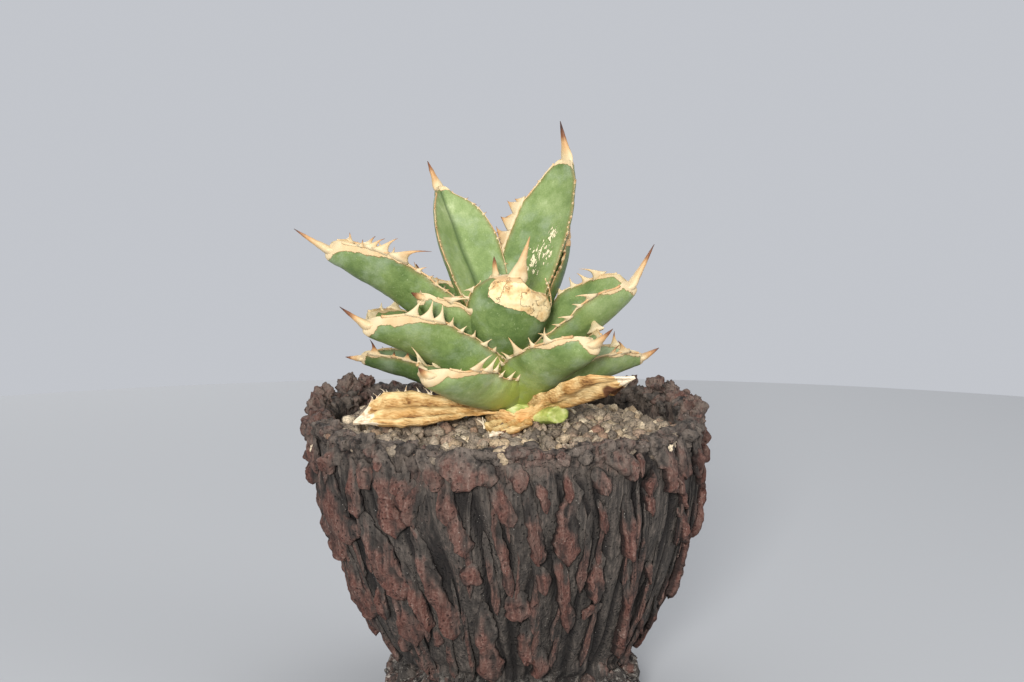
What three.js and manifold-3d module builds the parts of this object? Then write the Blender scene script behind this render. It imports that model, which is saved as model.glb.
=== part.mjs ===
// A potted agave: a rosette of thick toothed leaves on a short stem, three dried leaves
// below it, and a rough hand-built stoneware pot filled with lava and pumice grit.
// Millimetres, +Z up. Headings are degrees from +X towards +Y, so 270 is the front.
import * as THREE from "three";
import { mergeVertices } from "three/addons/utils/BufferGeometryUtils.js";
import Module from "manifold-3d";

const wasm = await Module();
wasm.setup();

// ---- driving dimensions ----
const clearance = 0.3; // left between neighbouring pieces

const pot = {
  height: 88,
  rimRadius: 58.5,
  waistRadius: 35,
  waistHeight: 15,
  footBulge: 2.5,
  footBulgeHeight: 4,
  bowlPower: 2.1, // how soon the bowl turns upright
  wall: 6,
  floor: 12,
  footRing: 8, // width of the ring that it stands on
  recess: 3.5, // depth of the underside inside that ring
  drainRadius: 5,
  lean: 1.8, // how far the foot stands to the right of the rim
  leanBetween: [35, 82], // the heights that the lean runs out over
  knobs: 1.3, // how far the rough foot swells in and out
  sides: 28,
};

const soil = {
  level: 84,
  crown: 2, // higher at the stem than at the wall
  hollow: 3, // deeper at the rim behind on the right
  hollowHeading: 35,
  sides: pot.sides,
  roughness: 1.5, // how far the surface rises and falls
  pebbles: 13,
  pebbleSize: [2, 3.2],
};

const stem = {
  foot: new THREE.Vector3(4.5, -2, 68),
  ground: new THREE.Vector3(4.5, -2, 84), // where height 0 of the leaves is
  top: new THREE.Vector3(-2.5, 1, 112), // where height 1 of the leaves is
  footRadius: 5,
  groundRadius: 8.5,
  topRadius: 4.5,
  sides: 10,
};

// Each leaf: where it leaves the stem (0 at the soil, 1 at the top), its heading and rise
// at the base and at the tip, how far it is rolled about its midrib, its size, how deeply
// its upper face is channelled, how broad it still is at its end, and its terminal spine.
// The oldest leaves come first: the younger ones make room for them.
const leaves = [
  { name: "left_low", at: 0.26, heading: [172, 172], rise: [22, 8], roll: 0, length: 48, width: 19,
    thick: 5.5, channel: 4.5, endWidth: 0.5, spine: 5.4, spineHeading: 172, spineRise: 4, tooth: 3.2 },
  { name: "back_low", at: 0.26, heading: [98, 104], rise: [16, 8], roll: 0, length: 40, width: 20,
    thick: 6.5, channel: 4.5, endWidth: 0.5, spine: 6, spineHeading: 104, spineRise: 30, tooth: 4 },
  { name: "front_left", at: 0.42, heading: [240, 226], rise: [4, 20], roll: 0, length: 41, width: 22,
    thick: 8.5, channel: 5, endWidth: 0.62, spine: 5, spineHeading: 240, spineRise: 35, tooth: 4.6 },
  { name: "right_low", at: 0.34, heading: [12, 14], rise: [22, 6], roll: 0, length: 41, width: 19,
    thick: 6.5, channel: 5, endWidth: 0.5, spine: 6.5, spineHeading: 14, spineRise: 28, tooth: 4.2 },
  { name: "back_right_low", at: 0.36, heading: [58, 52], rise: [20, 10], roll: 0, length: 42, width: 20,
    thick: 6.5, channel: 4.5, endWidth: 0.5, spine: 6, spineHeading: 52, spineRise: 34, tooth: 4 },
  { name: "front_right", at: 0.42, heading: [306, 322], rise: [30, 20], roll: 0, length: 38, width: 22,
    thick: 9.5, channel: 5.5, endWidth: 0.62, spine: 8.2, spineHeading: 322, spineRise: 40, tooth: 4.4 },
  { name: "back_left_low", at: 0.4, heading: [138, 142], rise: [22, 12], roll: 0, length: 42, width: 20,
    thick: 6.5, channel: 4.5, endWidth: 0.5, spine: 6, spineHeading: 142, spineRise: 34, tooth: 4 },
  { name: "left_middle", at: 0.5, heading: [202, 205], rise: [34, 11], roll: 0, length: 49, width: 23,
    thick: 9.5, channel: 7, endWidth: 0.5, spine: 10, spineHeading: 205, spineRise: 36, tooth: 5.4 },
  { name: "right_upper", at: 0.62, heading: [352, 352], rise: [33, 36], roll: 16, length: 45, width: 21,
    thick: 8.5, channel: 7.5, endWidth: 0.55, spine: 14, spineHeading: 352, spineRise: 62, tooth: 5 },
  { name: "left_upper", at: 0.56, heading: [189, 193], rise: [50, 21], roll: 0, length: 66, width: 21,
    thick: 8.5, channel: 7, endWidth: 0.5, spine: 12, spineHeading: 192, spineRise: 33, tooth: 5.4 },
  { name: "back_right", at: 0.66, heading: [82, 74], rise: [36, 30], roll: 0, length: 45, width: 21,
    thick: 8, channel: 6, endWidth: 0.5, spine: 8, spineHeading: 74, spineRise: 50, tooth: 4.6 },
  { name: "back_left", at: 0.68, heading: [152, 148], rise: [32, 46], roll: 0, length: 38, width: 17,
    thick: 7, channel: 5, endWidth: 0.5, spine: 5, spineHeading: 134, spineRise: 64, tooth: 4 },
  { name: "left_inner", at: 0.74, heading: [206, 222], rise: [36, 33], roll: -12, length: 35, width: 17,
    thick: 7.5, channel: 5, endWidth: 0.5, spine: 5, spineHeading: 236, spineRise: 20, tooth: 4.6 },
  { name: "right_inner", at: 0.78, heading: [34, 38], rise: [46, 64], roll: 0, length: 41, width: 16,
    thick: 6, channel: 4, endWidth: 0.45, spine: 6, spineHeading: 38, spineRise: 76, tooth: 3.4 },
  { name: "tall_right", at: 0.86, heading: [50, 36], rise: [56, 70], roll: 12, length: 61.5, width: 20,
    thick: 6.5, channel: 2.5, endWidth: 0.42, spine: 12, spineHeading: 180, spineRise: 79, tooth: 3.8 },
  { name: "tall_left", at: 0.88, heading: [142, 136], rise: [56, 67], roll: -6, length: 52, width: 23,
    thick: 6.5, channel: 6.5, endWidth: 0.3, spine: 9, spineHeading: 160, spineRise: 66, tooth: 2.6 },
  { name: "centre_front", at: 0.86, heading: [278, 293], rise: [24, 74], roll: 0, length: 31, width: 26,
    thick: 9.5, channel: 3.5, endWidth: 0.8, spine: 12.5, spineHeading: 340, spineRise: 72, tooth: 2.6 },
  { name: "bud", at: 1, heading: [150, 150], rise: [88, 88], roll: 0, length: 17, width: 9,
    thick: 8, channel: 0.5, endWidth: 0.4, spine: 6, spineHeading: 150, spineRise: 84, tooth: 1.8 },
];

const blade = {
  baseWidth: 0.66, // of the leaf's width
  baseChannel: 0.6, // of its channel
  widest: 0.6, // of its length
  tipCurve: 2.6, // how late it narrows past there
  tipThick: 0.5,
  upperShare: 0.2, // of the thickness, above the channel
  sides: 8,
  rings: 7,
  capLength: 2.4, // horny end between the green blade and the spine
};

// The terminal spine: half its width and its thickness along it, from its neck (0) to its
// point (1).
const spine = {
  sides: 6,
  neckBack: 1, // how far before the end of the leaf it has narrowed to its neck
  neckHalfWidth: 2.6,
  neckThick: 2.6,
  taper: [[0.3, 1.5], [0.7, 0.9], [1, 0.35]],
  thickTaper: [[0.5, 1.8], [1, 0.7]],
};

const margin = {
  start: 0.32, // of the blade's length, where the horny strip begins
  radius: 0.8, // of the strip
  toothPitch: 11, // about, along the whole leaf
  rootShare: 0.36, // half a tooth's root over its length
  toothOut: 0.8,
  toothUp: 0.5,
  toothHook: 0.6,
};

// Dried leaves: headings and rises at their base and tip, with crumpled cross-sections.
const driedLeaves = [
  { name: "dried_leaf_left", at: 0.12, heading: [210, 201], rise: [5, -6], roll: -26, length: 53, width: 17,
    thick: 2.2, lift: 1.8, folds: 3 },
  { name: "dried_leaf_right", at: 0.13, heading: [300, 347], rise: [8, 26], roll: -30, length: 46, width: 16,
    thick: 2.2, lift: 2.2, folds: 2 },
  { name: "dried_leaf_front", at: 0.1, heading: [268, 240], rise: [-5, 0], roll: 0, length: 31, width: 13,
    thick: 2.2, lift: 1.2, folds: 3 },
];
const dried = { sides: 8, rings: 7, foldHeight: 0.7, minThick: 1.2 };

const stub = { at: 0.1, heading: 314, rise: 10, roll: 0, length: 17, width: 10, thick: 5 };

// Slabs pressed on the pot: heading and height of the top end, then of the lower end,
// then the width. Those on the front follow the real pot one by one.
const frontSlabs = [
  [205, 83, 214, 56, 10.5], [188, 64, 206, 50, 4.5], [206, 52, 208, 32, 5.4],
  [221, 82, 223, 66, 3.8], [223, 66, 234, 43, 8.4], [233, 87, 236, 63, 7.5],
  [247, 78, 241, 66, 4.2], [242, 65, 249, 32, 5.4], [235.5, 53, 240, 33, 3.9],
  [223, 48, 218, 33, 3.2], [228, 45, 232.5, 28, 6],
  [246, 87, 252, 77, 4.4], [257, 87.5, 257, 80.6, 6.6], [255.5, 77, 265.5, 81, 4.2],
  [252, 75, 258, 58.5, 5.1], [276, 79, 278, 56, 4.5], [259, 55, 258, 49.5, 5.7],
  [261, 43, 261, 18, 6], [270, 42, 277, 41, 6], [275, 37, 276, 24, 4.8],
  [281, 28, 282, 19, 5.7], [283, 60.5, 289, 34, 4.2], [266, 73.5, 270.5, 46.5, 3],
  [288, 79, 287, 56, 6.6], [298, 57, 296, 43, 4.8], [305, 73, 308, 55, 5.1],
  [296, 87, 306, 81, 5.1], [318, 86, 326, 72, 8.1],
  [338, 85, 352, 68, 4], [340, 64, 347, 36, 6.6],
  [330, 65, 338.5, 55, 4.2], [308, 55, 319, 22, 4.4], [323, 36, 331, 27, 3.2],
];
const slab = {
  sides: 5,
  rings: 4,
  sunk: 1.6,
  broader: 1.25, // at the root than the width seen between the shadows
  proud: [1.6, 3.4], // at the top end and at the lower end
  lean: 9, // degrees that the end lies round from the top
  pitch: 22, // degrees between the columns round the back
  firstHeading: 0,
  lastHeading: 198,
};
const lumps = { rim: 10, foot: 9, size: [3.2, 4.8], sides: 4, rings: 3 }; // how many, and how big
const rimNubs = [ // heading, height, radius
  [176, 90, 4.4], [150, 91.5, 3.6], [142, 91, 3.4], [34, 91, 3.6], [20, 89.5, 4], [2, 89, 4.4],
];

// ---- small helpers ----
const radians = THREE.MathUtils.degToRad;
const mix = THREE.MathUtils.lerp;

function seededRandom(seed) {
  let state = seed;
  return () => {
    state = (state * 1664525 + 1013904223) % 4294967296;
    return state / 4294967296;
  };
}

// The value at t of a run of [position, value] stops.
function alongStops(stops, t) {
  const next = stops.findIndex(([position]) => position >= t);
  if (next <= 0) return next === 0 ? stops[0][1] : stops.at(-1)[1];
  const [from, before] = stops[next - 1];
  const [to, after] = stops[next];
  return mix(before, after, (t - from) / (to - from));
}

// A closed skin over rings of points: point(t, angle) for t from 0 to 1, and the middle of
// the first and last rings, where angle is null, closes the ends.
function skin(sides, rings, point) {
  const geometry = new THREE.SphereGeometry(1, sides, rings + 1);
  const position = geometry.attributes.position;
  for (let row = 0; row <= rings + 1; row++) {
    const isEnd = row === 0 || row === rings + 1;
    const t = (THREE.MathUtils.clamp(row, 1, rings) - 1) / (rings - 1);
    for (let column = 0; column <= sides; column++) {
      const angle = isEnd ? null : (2 * Math.PI * (column % sides)) / sides;
      const place = point(t, angle);
      position.setXYZ(row * (sides + 1) + column, place.x, place.y, place.z);
    }
  }
  return geometry;
}

function solidFrom(geometry) {
  geometry.deleteAttribute("normal");
  geometry.deleteAttribute("uv");
  const merged = mergeVertices(geometry, 1e-4);
  const triVerts = new Uint32Array(merged.index.array);
  const build = () => new wasm.Manifold(new wasm.Mesh({
    numProp: 3, vertProperties: new Float32Array(merged.attributes.position.array), triVerts,
  }));
  const solid = build();
  if (solid.volume() > 0) return solid;
  for (let i = 0; i < triVerts.length; i += 3) {
    [triVerts[i], triVerts[i + 1]] = [triVerts[i + 1], triVerts[i]];
  }
  return build();
}

// The same solid with its lower part pushed over as the hand-built pot leans.
function leaned(solid) {
  const mesh = solid.getMesh();
  const vertProperties = mesh.vertProperties.slice();
  for (let i = 0; i < vertProperties.length; i += 3) {
    const upright = THREE.MathUtils.smoothstep(vertProperties[i + 2], ...pot.leanBetween);
    vertProperties[i] += pot.lean * (1 - upright);
  }
  return new wasm.Manifold(new wasm.Mesh({ numProp: 3, vertProperties, triVerts: mesh.triVerts }));
}

// The biggest body of a solid: it leaves scraps and sealed bubbles behind.
function biggest(solid) {
  return solid.decompose().reduce((best, body) => (body.volume() > best.volume() ? body : best));
}

function fuse(solids) {
  return solids.reduce((sum, solid) => sum.add(solid));
}

function cut(solid, tools) {
  return tools.reduce((rest, tool) => rest.subtract(tool), solid);
}

const object = new THREE.Group();

function addPiece(name, solid, material) {
  const mesh = solid.getMesh();
  const geometry = new THREE.BufferGeometry();
  geometry.setAttribute("position", new THREE.BufferAttribute(mesh.vertProperties, 3));
  geometry.setIndex(new THREE.BufferAttribute(mesh.triVerts, 1));
  geometry.computeVertexNormals();
  const piece = new THREE.Mesh(geometry, material);
  piece.name = name;
  object.add(piece);
}

function finish(color, roughness) {
  return new THREE.MeshStandardMaterial({ color, roughness, metalness: 0 });
}

// ---- pot ----
function potRadius(z) {
  if (z < pot.waistHeight) {
    const fromBulge = (z - pot.footBulgeHeight) / (pot.waistHeight - pot.footBulgeHeight);
    return pot.waistRadius + pot.footBulge * Math.cos((Math.PI / 2) * fromBulge);
  }
  const up = Math.min(1, (z - pot.waistHeight) / (pot.height - pot.waistHeight));
  return pot.waistRadius + (pot.rimRadius - pot.waistRadius) * (1 - (1 - up) ** pot.bowlPower);
}

function potInside(z) {
  return potRadius(Math.max(z, pot.waistHeight)) - pot.wall;
}

// The rim is lower at the front and uneven all round.
function rimRise(heading) {
  const a = radians(heading);
  return 0.6 + 2 * Math.sin(a) + 0.5 * Math.sin(5 * a + 1) + 0.4 * Math.sin(11 * a);
}

// The foot is a ring of knobs, which fade out where the bowl begins.
function footKnobs(heading, z) {
  const a = radians(heading);
  const waves = Math.sin(9 * a + 0.6 * z) + 0.7 * Math.sin(13 * a - 0.9 * z);
  return pot.knobs * waves * (1 - THREE.MathUtils.smoothstep(z, pot.waistHeight, 1.6 * pot.waistHeight));
}

function potBody() {
  const outline = [
    [pot.drainRadius, pot.recess], [pot.waistRadius - pot.footRing, pot.recess],
    [pot.waistRadius - pot.footRing + pot.recess / 2, 0], [potRadius(0), 0],
  ];
  const outerHeights = [4, 9, 15, 28, 43, 62];
  for (const z of outerHeights) outline.push([potRadius(z), z]);
  outline.push([pot.rimRadius, pot.height - 1.5], [pot.rimRadius - 1.5, pot.height]);
  outline.push([potInside(pot.height) + 1, pot.height], [potInside(pot.height), pot.height - 2]);
  for (const z of [62, 43, 28]) outline.push([potInside(z), z]);
  outline.push([potInside(0) - 1, pot.floor], [pot.drainRadius, pot.floor], outline[0]);
  const points = outline.map(([radius, z]) => new THREE.Vector2(radius, z));
  const geometry = new THREE.LatheGeometry(points, pot.sides);
  geometry.rotateX(Math.PI / 2);
  const position = geometry.attributes.position;
  for (let i = 0; i < position.count; i++) {
    const share = THREE.MathUtils.smoothstep(position.getZ(i), soil.level, pot.height);
    const heading = Math.atan2(position.getY(i), position.getX(i)) * THREE.MathUtils.RAD2DEG;
    const rounded = Math.round(heading * 10) / 10;
    const radius = Math.hypot(position.getX(i), position.getY(i));
    const isOuter = Math.abs(radius - potRadius(position.getZ(i))) < pot.wall / 2;
    const swell = isOuter ? 1 + footKnobs(rounded, position.getZ(i)) / radius : 1;
    position.setX(i, position.getX(i) * swell);
    position.setY(i, position.getY(i) * swell);
    position.setZ(i, position.getZ(i) + share * rimRise(rounded));
  }
  return solidFrom(geometry);
}

function potSlab([topHeading, topHeight, endHeading, endHeight, width]) {
  const widths = [[0, 0.25], [0.2, 0.42], [0.6, 0.47], [0.85, 0.5], [1, 0.28]];
  const geometry = skin(slab.sides, slab.rings, (t, angle) => {
    const a = radians(mix(topHeading, endHeading, t));
    const z = mix(topHeight, endHeight, t);
    const side = angle === null ? 0 : Math.cos(angle) * slab.broader * width * alongStops(widths, t);
    const reach = mix(slab.proud[0], slab.proud[1], t ** 1.5);
    const lift = angle === null ? 0 : Math.sin(angle);
    const radius = potRadius(z) - 0.2 + lift * (lift > 0 ? reach : slab.sunk);
    const tangent = new THREE.Vector2(-Math.sin(a), Math.cos(a)).multiplyScalar(side);
    return new THREE.Vector3(Math.cos(a) * radius + tangent.x, Math.sin(a) * radius + tangent.y, z);
  });
  return solidFrom(geometry);
}

function backSlabs() {
  const random = seededRandom(11);
  const rows = [];
  for (let heading = slab.firstHeading; heading < slab.lastHeading; heading += slab.pitch) {
    const split = mix(48, 64, random());
    const lean = slab.lean * (random() - 0.5) * 2;
    rows.push([heading, mix(80, 86, random()), heading + lean, split, mix(4, 8, random())]);
    const below = heading + slab.pitch * mix(0.3, 0.6, random());
    const top = split + mix(-4, 8, random());
    rows.push([below, top, below + lean, mix(20, 32, random()), mix(4, 7, random())]);
  }
  return rows;
}

function lump(heading, radius, z, size, squash) {
  const a = radians(heading);
  const middle = new THREE.Vector3(Math.cos(a) * radius, Math.sin(a) * radius, z);
  const geometry = skin(lumps.sides, lumps.rings, (t, angle) => {
    const lift = mix(-1, 1, t) * 0.8;
    const out = angle === null ? 0 : Math.sqrt(1 - lift * lift);
    return new THREE.Vector3(out * Math.cos(angle ?? 0), out * Math.sin(angle ?? 0), lift * squash)
      .multiplyScalar(size).applyAxisAngle(new THREE.Vector3(0, 0, 1), a).add(middle);
  });
  return solidFrom(geometry);
}

function potLumps() {
  const random = seededRandom(5);
  const all = [];
  for (let i = 0; i < lumps.rim; i++) {
    const heading = (360 * (i + 0.6 * random())) / lumps.rim;
    const size = mix(...lumps.size, random());
    const radius = pot.rimRadius - mix(0, 1.2, random());
    all.push(lump(heading, radius, pot.height + rimRise(heading) - size * 0.6, size, 0.9));
  }
  for (let i = 0; i < lumps.foot; i++) {
    const heading = (360 * (i + 0.7 * random())) / lumps.foot;
    const size = mix(...lumps.size, random());
    all.push(lump(heading, pot.waistRadius + 0.8, mix(size + 0.5, 11, random()), size, 1));
  }
  for (const [heading, z, size] of rimNubs) {
    all.push(lump(heading, pot.rimRadius - size / 3, z - size / 2, size, 1.5));
  }
  return all;
}

function wholePot() {
  const slabs = [...frontSlabs, ...backSlabs()].map(potSlab);
  return biggest(fuse([potBody(), ...slabs, ...potLumps()]));
}

// ---- stem ----
// The middle of the stem at a leaf's height on it.
function stemMiddle(at) {
  return new THREE.Vector3().lerpVectors(stem.ground, stem.top, at);
}

function stemSolid(grow = 0) {
  const stops = [stem.foot, stem.ground, stem.top];
  const radii = [stem.footRadius, stem.groundRadius, stem.topRadius];
  const geometry = skin(stem.sides, stops.length, (t, angle) => {
    const i = Math.round(t * 2);
    const radius = angle === null ? 0 : radii[i] + grow;
    const shift = (t - 0.5) * 2 * grow;
    const round = new THREE.Vector3(Math.cos(angle ?? 0), Math.sin(angle ?? 0), 0);
    return round.multiplyScalar(radius).add(stops[i]).add(new THREE.Vector3(0, 0, shift));
  });
  return solidFrom(geometry);
}

// ---- leaves ----
// The midrib of a leaf and its spine, as a function of the distance from the stem's axis.
function midrib(leaf) {
  const step = 1;
  const reach = leaf.length + (leaf.spine ?? 0) + step;
  const frames = [];
  const place = stemMiddle(leaf.at);
  for (let s = 0; s <= reach; s += step) {
    const share = Math.min(1, s / leaf.length);
    const past = s > leaf.length;
    const heading = radians(past ? leaf.spineHeading : mix(...leaf.heading, share));
    const rise = radians(past ? leaf.spineRise : mix(...leaf.rise, share));
    const along = new THREE.Vector3(
      Math.cos(rise) * Math.cos(heading), Math.cos(rise) * Math.sin(heading), Math.sin(rise));
    const baseHeading = radians(mix(...leaf.heading, share));
    const across = new THREE.Vector3(-Math.sin(baseHeading), Math.cos(baseHeading), 0)
      .applyAxisAngle(along, radians(leaf.roll));
    const up = new THREE.Vector3().crossVectors(along, across).normalize();
    frames.push({ place: place.clone(), across, up, along });
    place.addScaledVector(along, step);
  }
  return (s) => {
    const i = THREE.MathUtils.clamp(Math.floor(s / step), 0, frames.length - 1);
    const { place: start, across, up, along } = frames[i];
    return { place: start.clone().addScaledVector(along, s - i * step), across, up, along };
  };
}

function onLeaf(frame, side, lift) {
  return frame.place.clone().addScaledVector(frame.across, side).addScaledVector(frame.up, lift);
}

function bladeLength(leaf) {
  return leaf.length - blade.capLength;
}

// Half the blade's width, its channel's depth and its thickness at the distance s.
function bladeHalfWidth(leaf, s) {
  const share = s / bladeLength(leaf);
  if (share < blade.widest) {
    const swell = Math.sin((Math.PI / 2) * (share / blade.widest));
    return (leaf.width / 2) * mix(blade.baseWidth, 1, swell);
  }
  const past = Math.min(1, (share - blade.widest) / (1 - blade.widest));
  return (leaf.width / 2) * mix(1, leaf.endWidth, past ** blade.tipCurve);
}

function bladeChannel(leaf, s) {
  const deepening = mix(blade.baseChannel, 1, Math.min(1, s / leaf.length));
  return leaf.channel * deepening * (bladeHalfWidth(leaf, s) / (leaf.width / 2));
}

function bladeThickness(leaf, s) {
  return leaf.thick * mix(1, blade.tipThick, Math.min(1, s / bladeLength(leaf)) ** 2);
}

// The height of a leaf's section round its midrib, with room to grow on every side.
function sectionLift(channel, thickness, angle, grow) {
  const lift = Math.sin(angle);
  const isUnder = lift < -1e-6;
  const share = isUnder ? 1 - blade.upperShare : blade.upperShare;
  return channel * Math.cos(angle) ** 2 + lift * share * thickness + 1.3 * grow * (isUnder ? lift : 1);
}

function bladeSolid(leaf, rib, grow = 0) {
  const geometry = skin(blade.sides, blade.rings, (t, angle) => {
    const s = mix(-grow, bladeLength(leaf) + grow, t);
    const frame = rib(Math.max(s, 0));
    if (angle === null) return onLeaf(frame, 0, 0);
    const side = (bladeHalfWidth(leaf, Math.max(s, 0)) + grow) * Math.cos(angle);
    const channel = bladeChannel(leaf, Math.max(s, 0));
    return onLeaf(frame, side, sectionLift(channel, bladeThickness(leaf, Math.max(s, 0)), angle, grow));
  });
  return solidFrom(geometry);
}

// The horny end: it carries on the blade's section and narrows into the spine.
function spineSolid(leaf, rib, grow) {
  const start = bladeLength(leaf) + clearance - grow;
  const edge = bladeHalfWidth(leaf, start) + clearance + margin.radius;
  const neck = leaf.length;
  const placed = ([share, value]) => [neck + share * (leaf.spine + grow), value];
  const halfWidths = [[start, edge], [neck - spine.neckBack, spine.neckHalfWidth],
    ...spine.taper.map(placed)];
  const thicknesses = [[start, bladeThickness(leaf, start)], [neck, spine.neckThick],
    ...spine.thickTaper.map(placed)];
  const stations = halfWidths.map(([s]) => s);
  const geometry = skin(spine.sides, stations.length, (t, angle) => {
    const s = stations[Math.round(t * (stations.length - 1))];
    const frame = rib(s);
    if (angle === null) return onLeaf(frame, 0, 0);
    const fade = 1 - THREE.MathUtils.clamp((s - start) / (neck - start), 0, 1);
    const channel = bladeChannel(leaf, start) * fade;
    const lift = sectionLift(channel, alongStops(thicknesses, s), angle, grow);
    return onLeaf(frame, (alongStops(halfWidths, s) + grow) * Math.cos(angle), lift);
  });
  return solidFrom(geometry);
}

// Along each edge runs a horny strip whose outer line is drawn out into hooked teeth.
function toothedStrip(leaf, rib, side, random, grow) {
  const start = bladeLength(leaf) * margin.start;
  const end = bladeLength(leaf) + 2 * margin.radius;
  const teeth = Math.max(3, Math.round(leaf.length / margin.toothPitch));
  const pitch = (bladeLength(leaf) - start) / teeth;
  const stations = [{ s: start - grow, tooth: 0 }];
  for (let i = 0; i < teeth; i++) {
    const middle = start + pitch * (i + mix(0.4, 0.7, random()));
    const tooth = leaf.tooth * mix(0.6, 1.15, random());
    const hook = mix(0.2, 0.8, random()) * (random() < 0.35 ? -1 : 1);
    const root = margin.rootShare * tooth + grow;
    stations.push({ s: middle - root, tooth: 0 }, { s: middle, tooth, hook }, { s: middle + root, tooth: 0 });
  }
  stations.push({ s: end + grow, tooth: 0 });
  const geometry = skin(3, stations.length, (t, angle) => {
    const { s, tooth, hook } = stations[Math.round(t * (stations.length - 1))];
    const { place, across, up, along } = rib(s);
    const out = bladeHalfWidth(leaf, s) + clearance + margin.radius / 2;
    const middle = onLeaf({ place, across, up }, side * out, bladeChannel(leaf, s));
    if (angle === null) return middle;
    const radius = margin.radius + 2 * grow;
    middle.addScaledVector(across, side * radius * Math.cos(angle));
    middle.addScaledVector(up, radius * Math.sin(angle));
    if (angle > 0 || tooth === 0) return middle;
    const reach = tooth + grow;
    return middle.addScaledVector(across, side * reach * margin.toothOut)
      .addScaledVector(up, reach * margin.toothUp).addScaledVector(along, reach * hook * margin.toothHook);
  });
  return solidFrom(geometry);
}

function edgeSolid(leaf, rib, grow = 0) {
  const random = seededRandom(leaf.length * 100 + leaf.spine);
  const strips = [-1, 1].map((side) => toothedStrip(leaf, rib, side, random, grow));
  return fuse([spineSolid(leaf, rib, grow), ...strips]);
}

// ---- dried leaves ----
function driedSolid(leaf, grow = 0) {
  const rib = midrib({ ...leaf, spineHeading: leaf.heading[1], spineRise: leaf.rise[1] });
  const geometry = skin(dried.sides, dried.rings, (t, angle) => {
    const s = mix(stem.groundRadius * 0.8, leaf.length, t);
    const frame = rib(s);
    if (angle === null) return onLeaf(frame, 0, leaf.lift);
    const swell = alongStops([[0, 0.7], [0.35, 1], [0.75, 0.9], [0.9, 0.45], [1, 0.12]], t);
    const across = Math.cos(angle);
    const fold = dried.foldHeight * Math.sin(leaf.folds * Math.PI * across + 5 * t) * swell;
    const half = mix(leaf.thick, dried.minThick, t) / 2 + grow;
    const face = Math.sign(Math.sin(angle)) * Math.sqrt(Math.abs(Math.sin(angle)));
    const lift = leaf.lift * (1 + across ** 2) + fold + half * face;
    return onLeaf(frame, (leaf.width * swell / 2 + grow) * across, lift);
  });
  return solidFrom(geometry);
}

function stubSolid(grow = 0) {
  const rib = midrib({ ...stub, heading: [stub.heading, stub.heading], rise: [stub.rise, stub.rise] });
  const geometry = skin(10, 3, (t, angle) => {
    const frame = rib(mix(stem.groundRadius * 0.6, stub.length + grow, t));
    if (angle === null) return onLeaf(frame, 0, 0);
    const side = (stub.width * mix(0.5, 0.42, t) + grow) * Math.cos(angle);
    return onLeaf(frame, side, (stub.thick / 2 + grow) * Math.sin(angle));
  });
  return solidFrom(geometry);
}

// ---- soil ----
function soilHeight(x, y) {
  const fromStem = Math.hypot(x - stem.ground.x, y - stem.ground.y) / pot.rimRadius;
  const towards = Math.max(0, Math.cos(Math.atan2(y, x) - radians(soil.hollowHeading)));
  const hollow = towards * (Math.hypot(x, y) / pot.rimRadius) ** 2;
  return soil.level + soil.crown * (1 - fromStem) - soil.hollow * hollow;
}

function soilBody() {
  const outline = [[0, pot.floor + clearance], [potInside(0) - 1 - clearance, pot.floor + clearance]];
  for (const z of [28, 43, 62, soil.level - 1]) outline.push([potInside(z) - 2 * clearance, z]);
  for (const radius of [47, 41, 34, 27, 20, 13, 6, 0]) outline.push([radius, soil.level]);
  const points = outline.map(([radius, z]) => new THREE.Vector2(radius, z));
  const geometry = new THREE.LatheGeometry(points, soil.sides);
  geometry.rotateX(Math.PI / 2);
  const random = seededRandom(41);
  const bumps = Array.from({ length: soil.sides * points.length }, () => mix(-1, 1, random()));
  const position = geometry.attributes.position;
  const rounded = (value) => Math.round(value * 1e3) / 1e3;
  for (let i = 0; i < position.count; i++) {
    if (position.getZ(i) < soil.level - 0.5) continue;
    const isMiddle = (i + 1) % points.length === 0;
    const bump = isMiddle ? 0 : soil.roughness * bumps[i % bumps.length]; // the seam's two sides agree
    position.setZ(i, soilHeight(rounded(position.getX(i)), rounded(position.getY(i))) + bump);
  }
  return solidFrom(geometry);
}

function pebbles() {
  const goldenAngle = 137.5; // degrees, which spreads them evenly
  const random = seededRandom(23);
  const all = [];
  for (let i = 0; i < soil.pebbles; i++) {
    const size = mix(...soil.pebbleSize, random());
    const furthest = potInside(soil.level) - size - 2.5;
    const radius = Math.sqrt(mix(0.05, 1, (i + random()) / soil.pebbles)) * furthest;
    const heading = i * goldenAngle;
    const ground = soilHeight(Math.cos(radians(heading)) * radius, Math.sin(radians(heading)) * radius);
    all.push(lump(heading, radius, ground + size * mix(-0.1, 0.3, random()), size, mix(0.6, 0.9, random())));
  }
  return all;
}

// ---- assembly ----
const leafGreen = finish(0x5d8a4e, 0.55);
const budGreen = finish(0x7fa458, 0.5);
const horny = finish(0xe6d3a8, 0.6);
const straw = finish(0xcf9a4f, 0.8);

addPiece("pot", leaned(wholePot()), finish(0x5a3f38, 0.92));

const bareStem = stemSolid();
const roomForStem = stemSolid(clearance);
addPiece("stem", bareStem, finish(0x86a04a, 0.6));

const ribs = leaves.map(midrib);
const roomForLeaves = leaves.map((leaf, i) => bladeSolid(leaf, ribs[i], clearance));
const blades = leaves.map((leaf, i) => {
  const raw = bladeSolid(leaf, ribs[i]);
  return biggest(cut(raw, [roomForStem, ...roomForLeaves.slice(0, i)]));
});
leaves.forEach((leaf, i) => {
  addPiece(`leaf_${leaf.name}`, blades[i], leaf.name === "bud" ? budGreen : leafGreen);
});

const roomForEdges = [];
leaves.forEach((leaf, i) => {
  const others = roomForLeaves.filter((_, j) => j !== i);
  const edge = biggest(cut(edgeSolid(leaf, ribs[i]), [...others, roomForStem, ...roomForEdges]));
  roomForEdges.push(edgeSolid(leaf, ribs[i], clearance));
  addPiece(`edge_${leaf.name}`, edge, horny);
});

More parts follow.
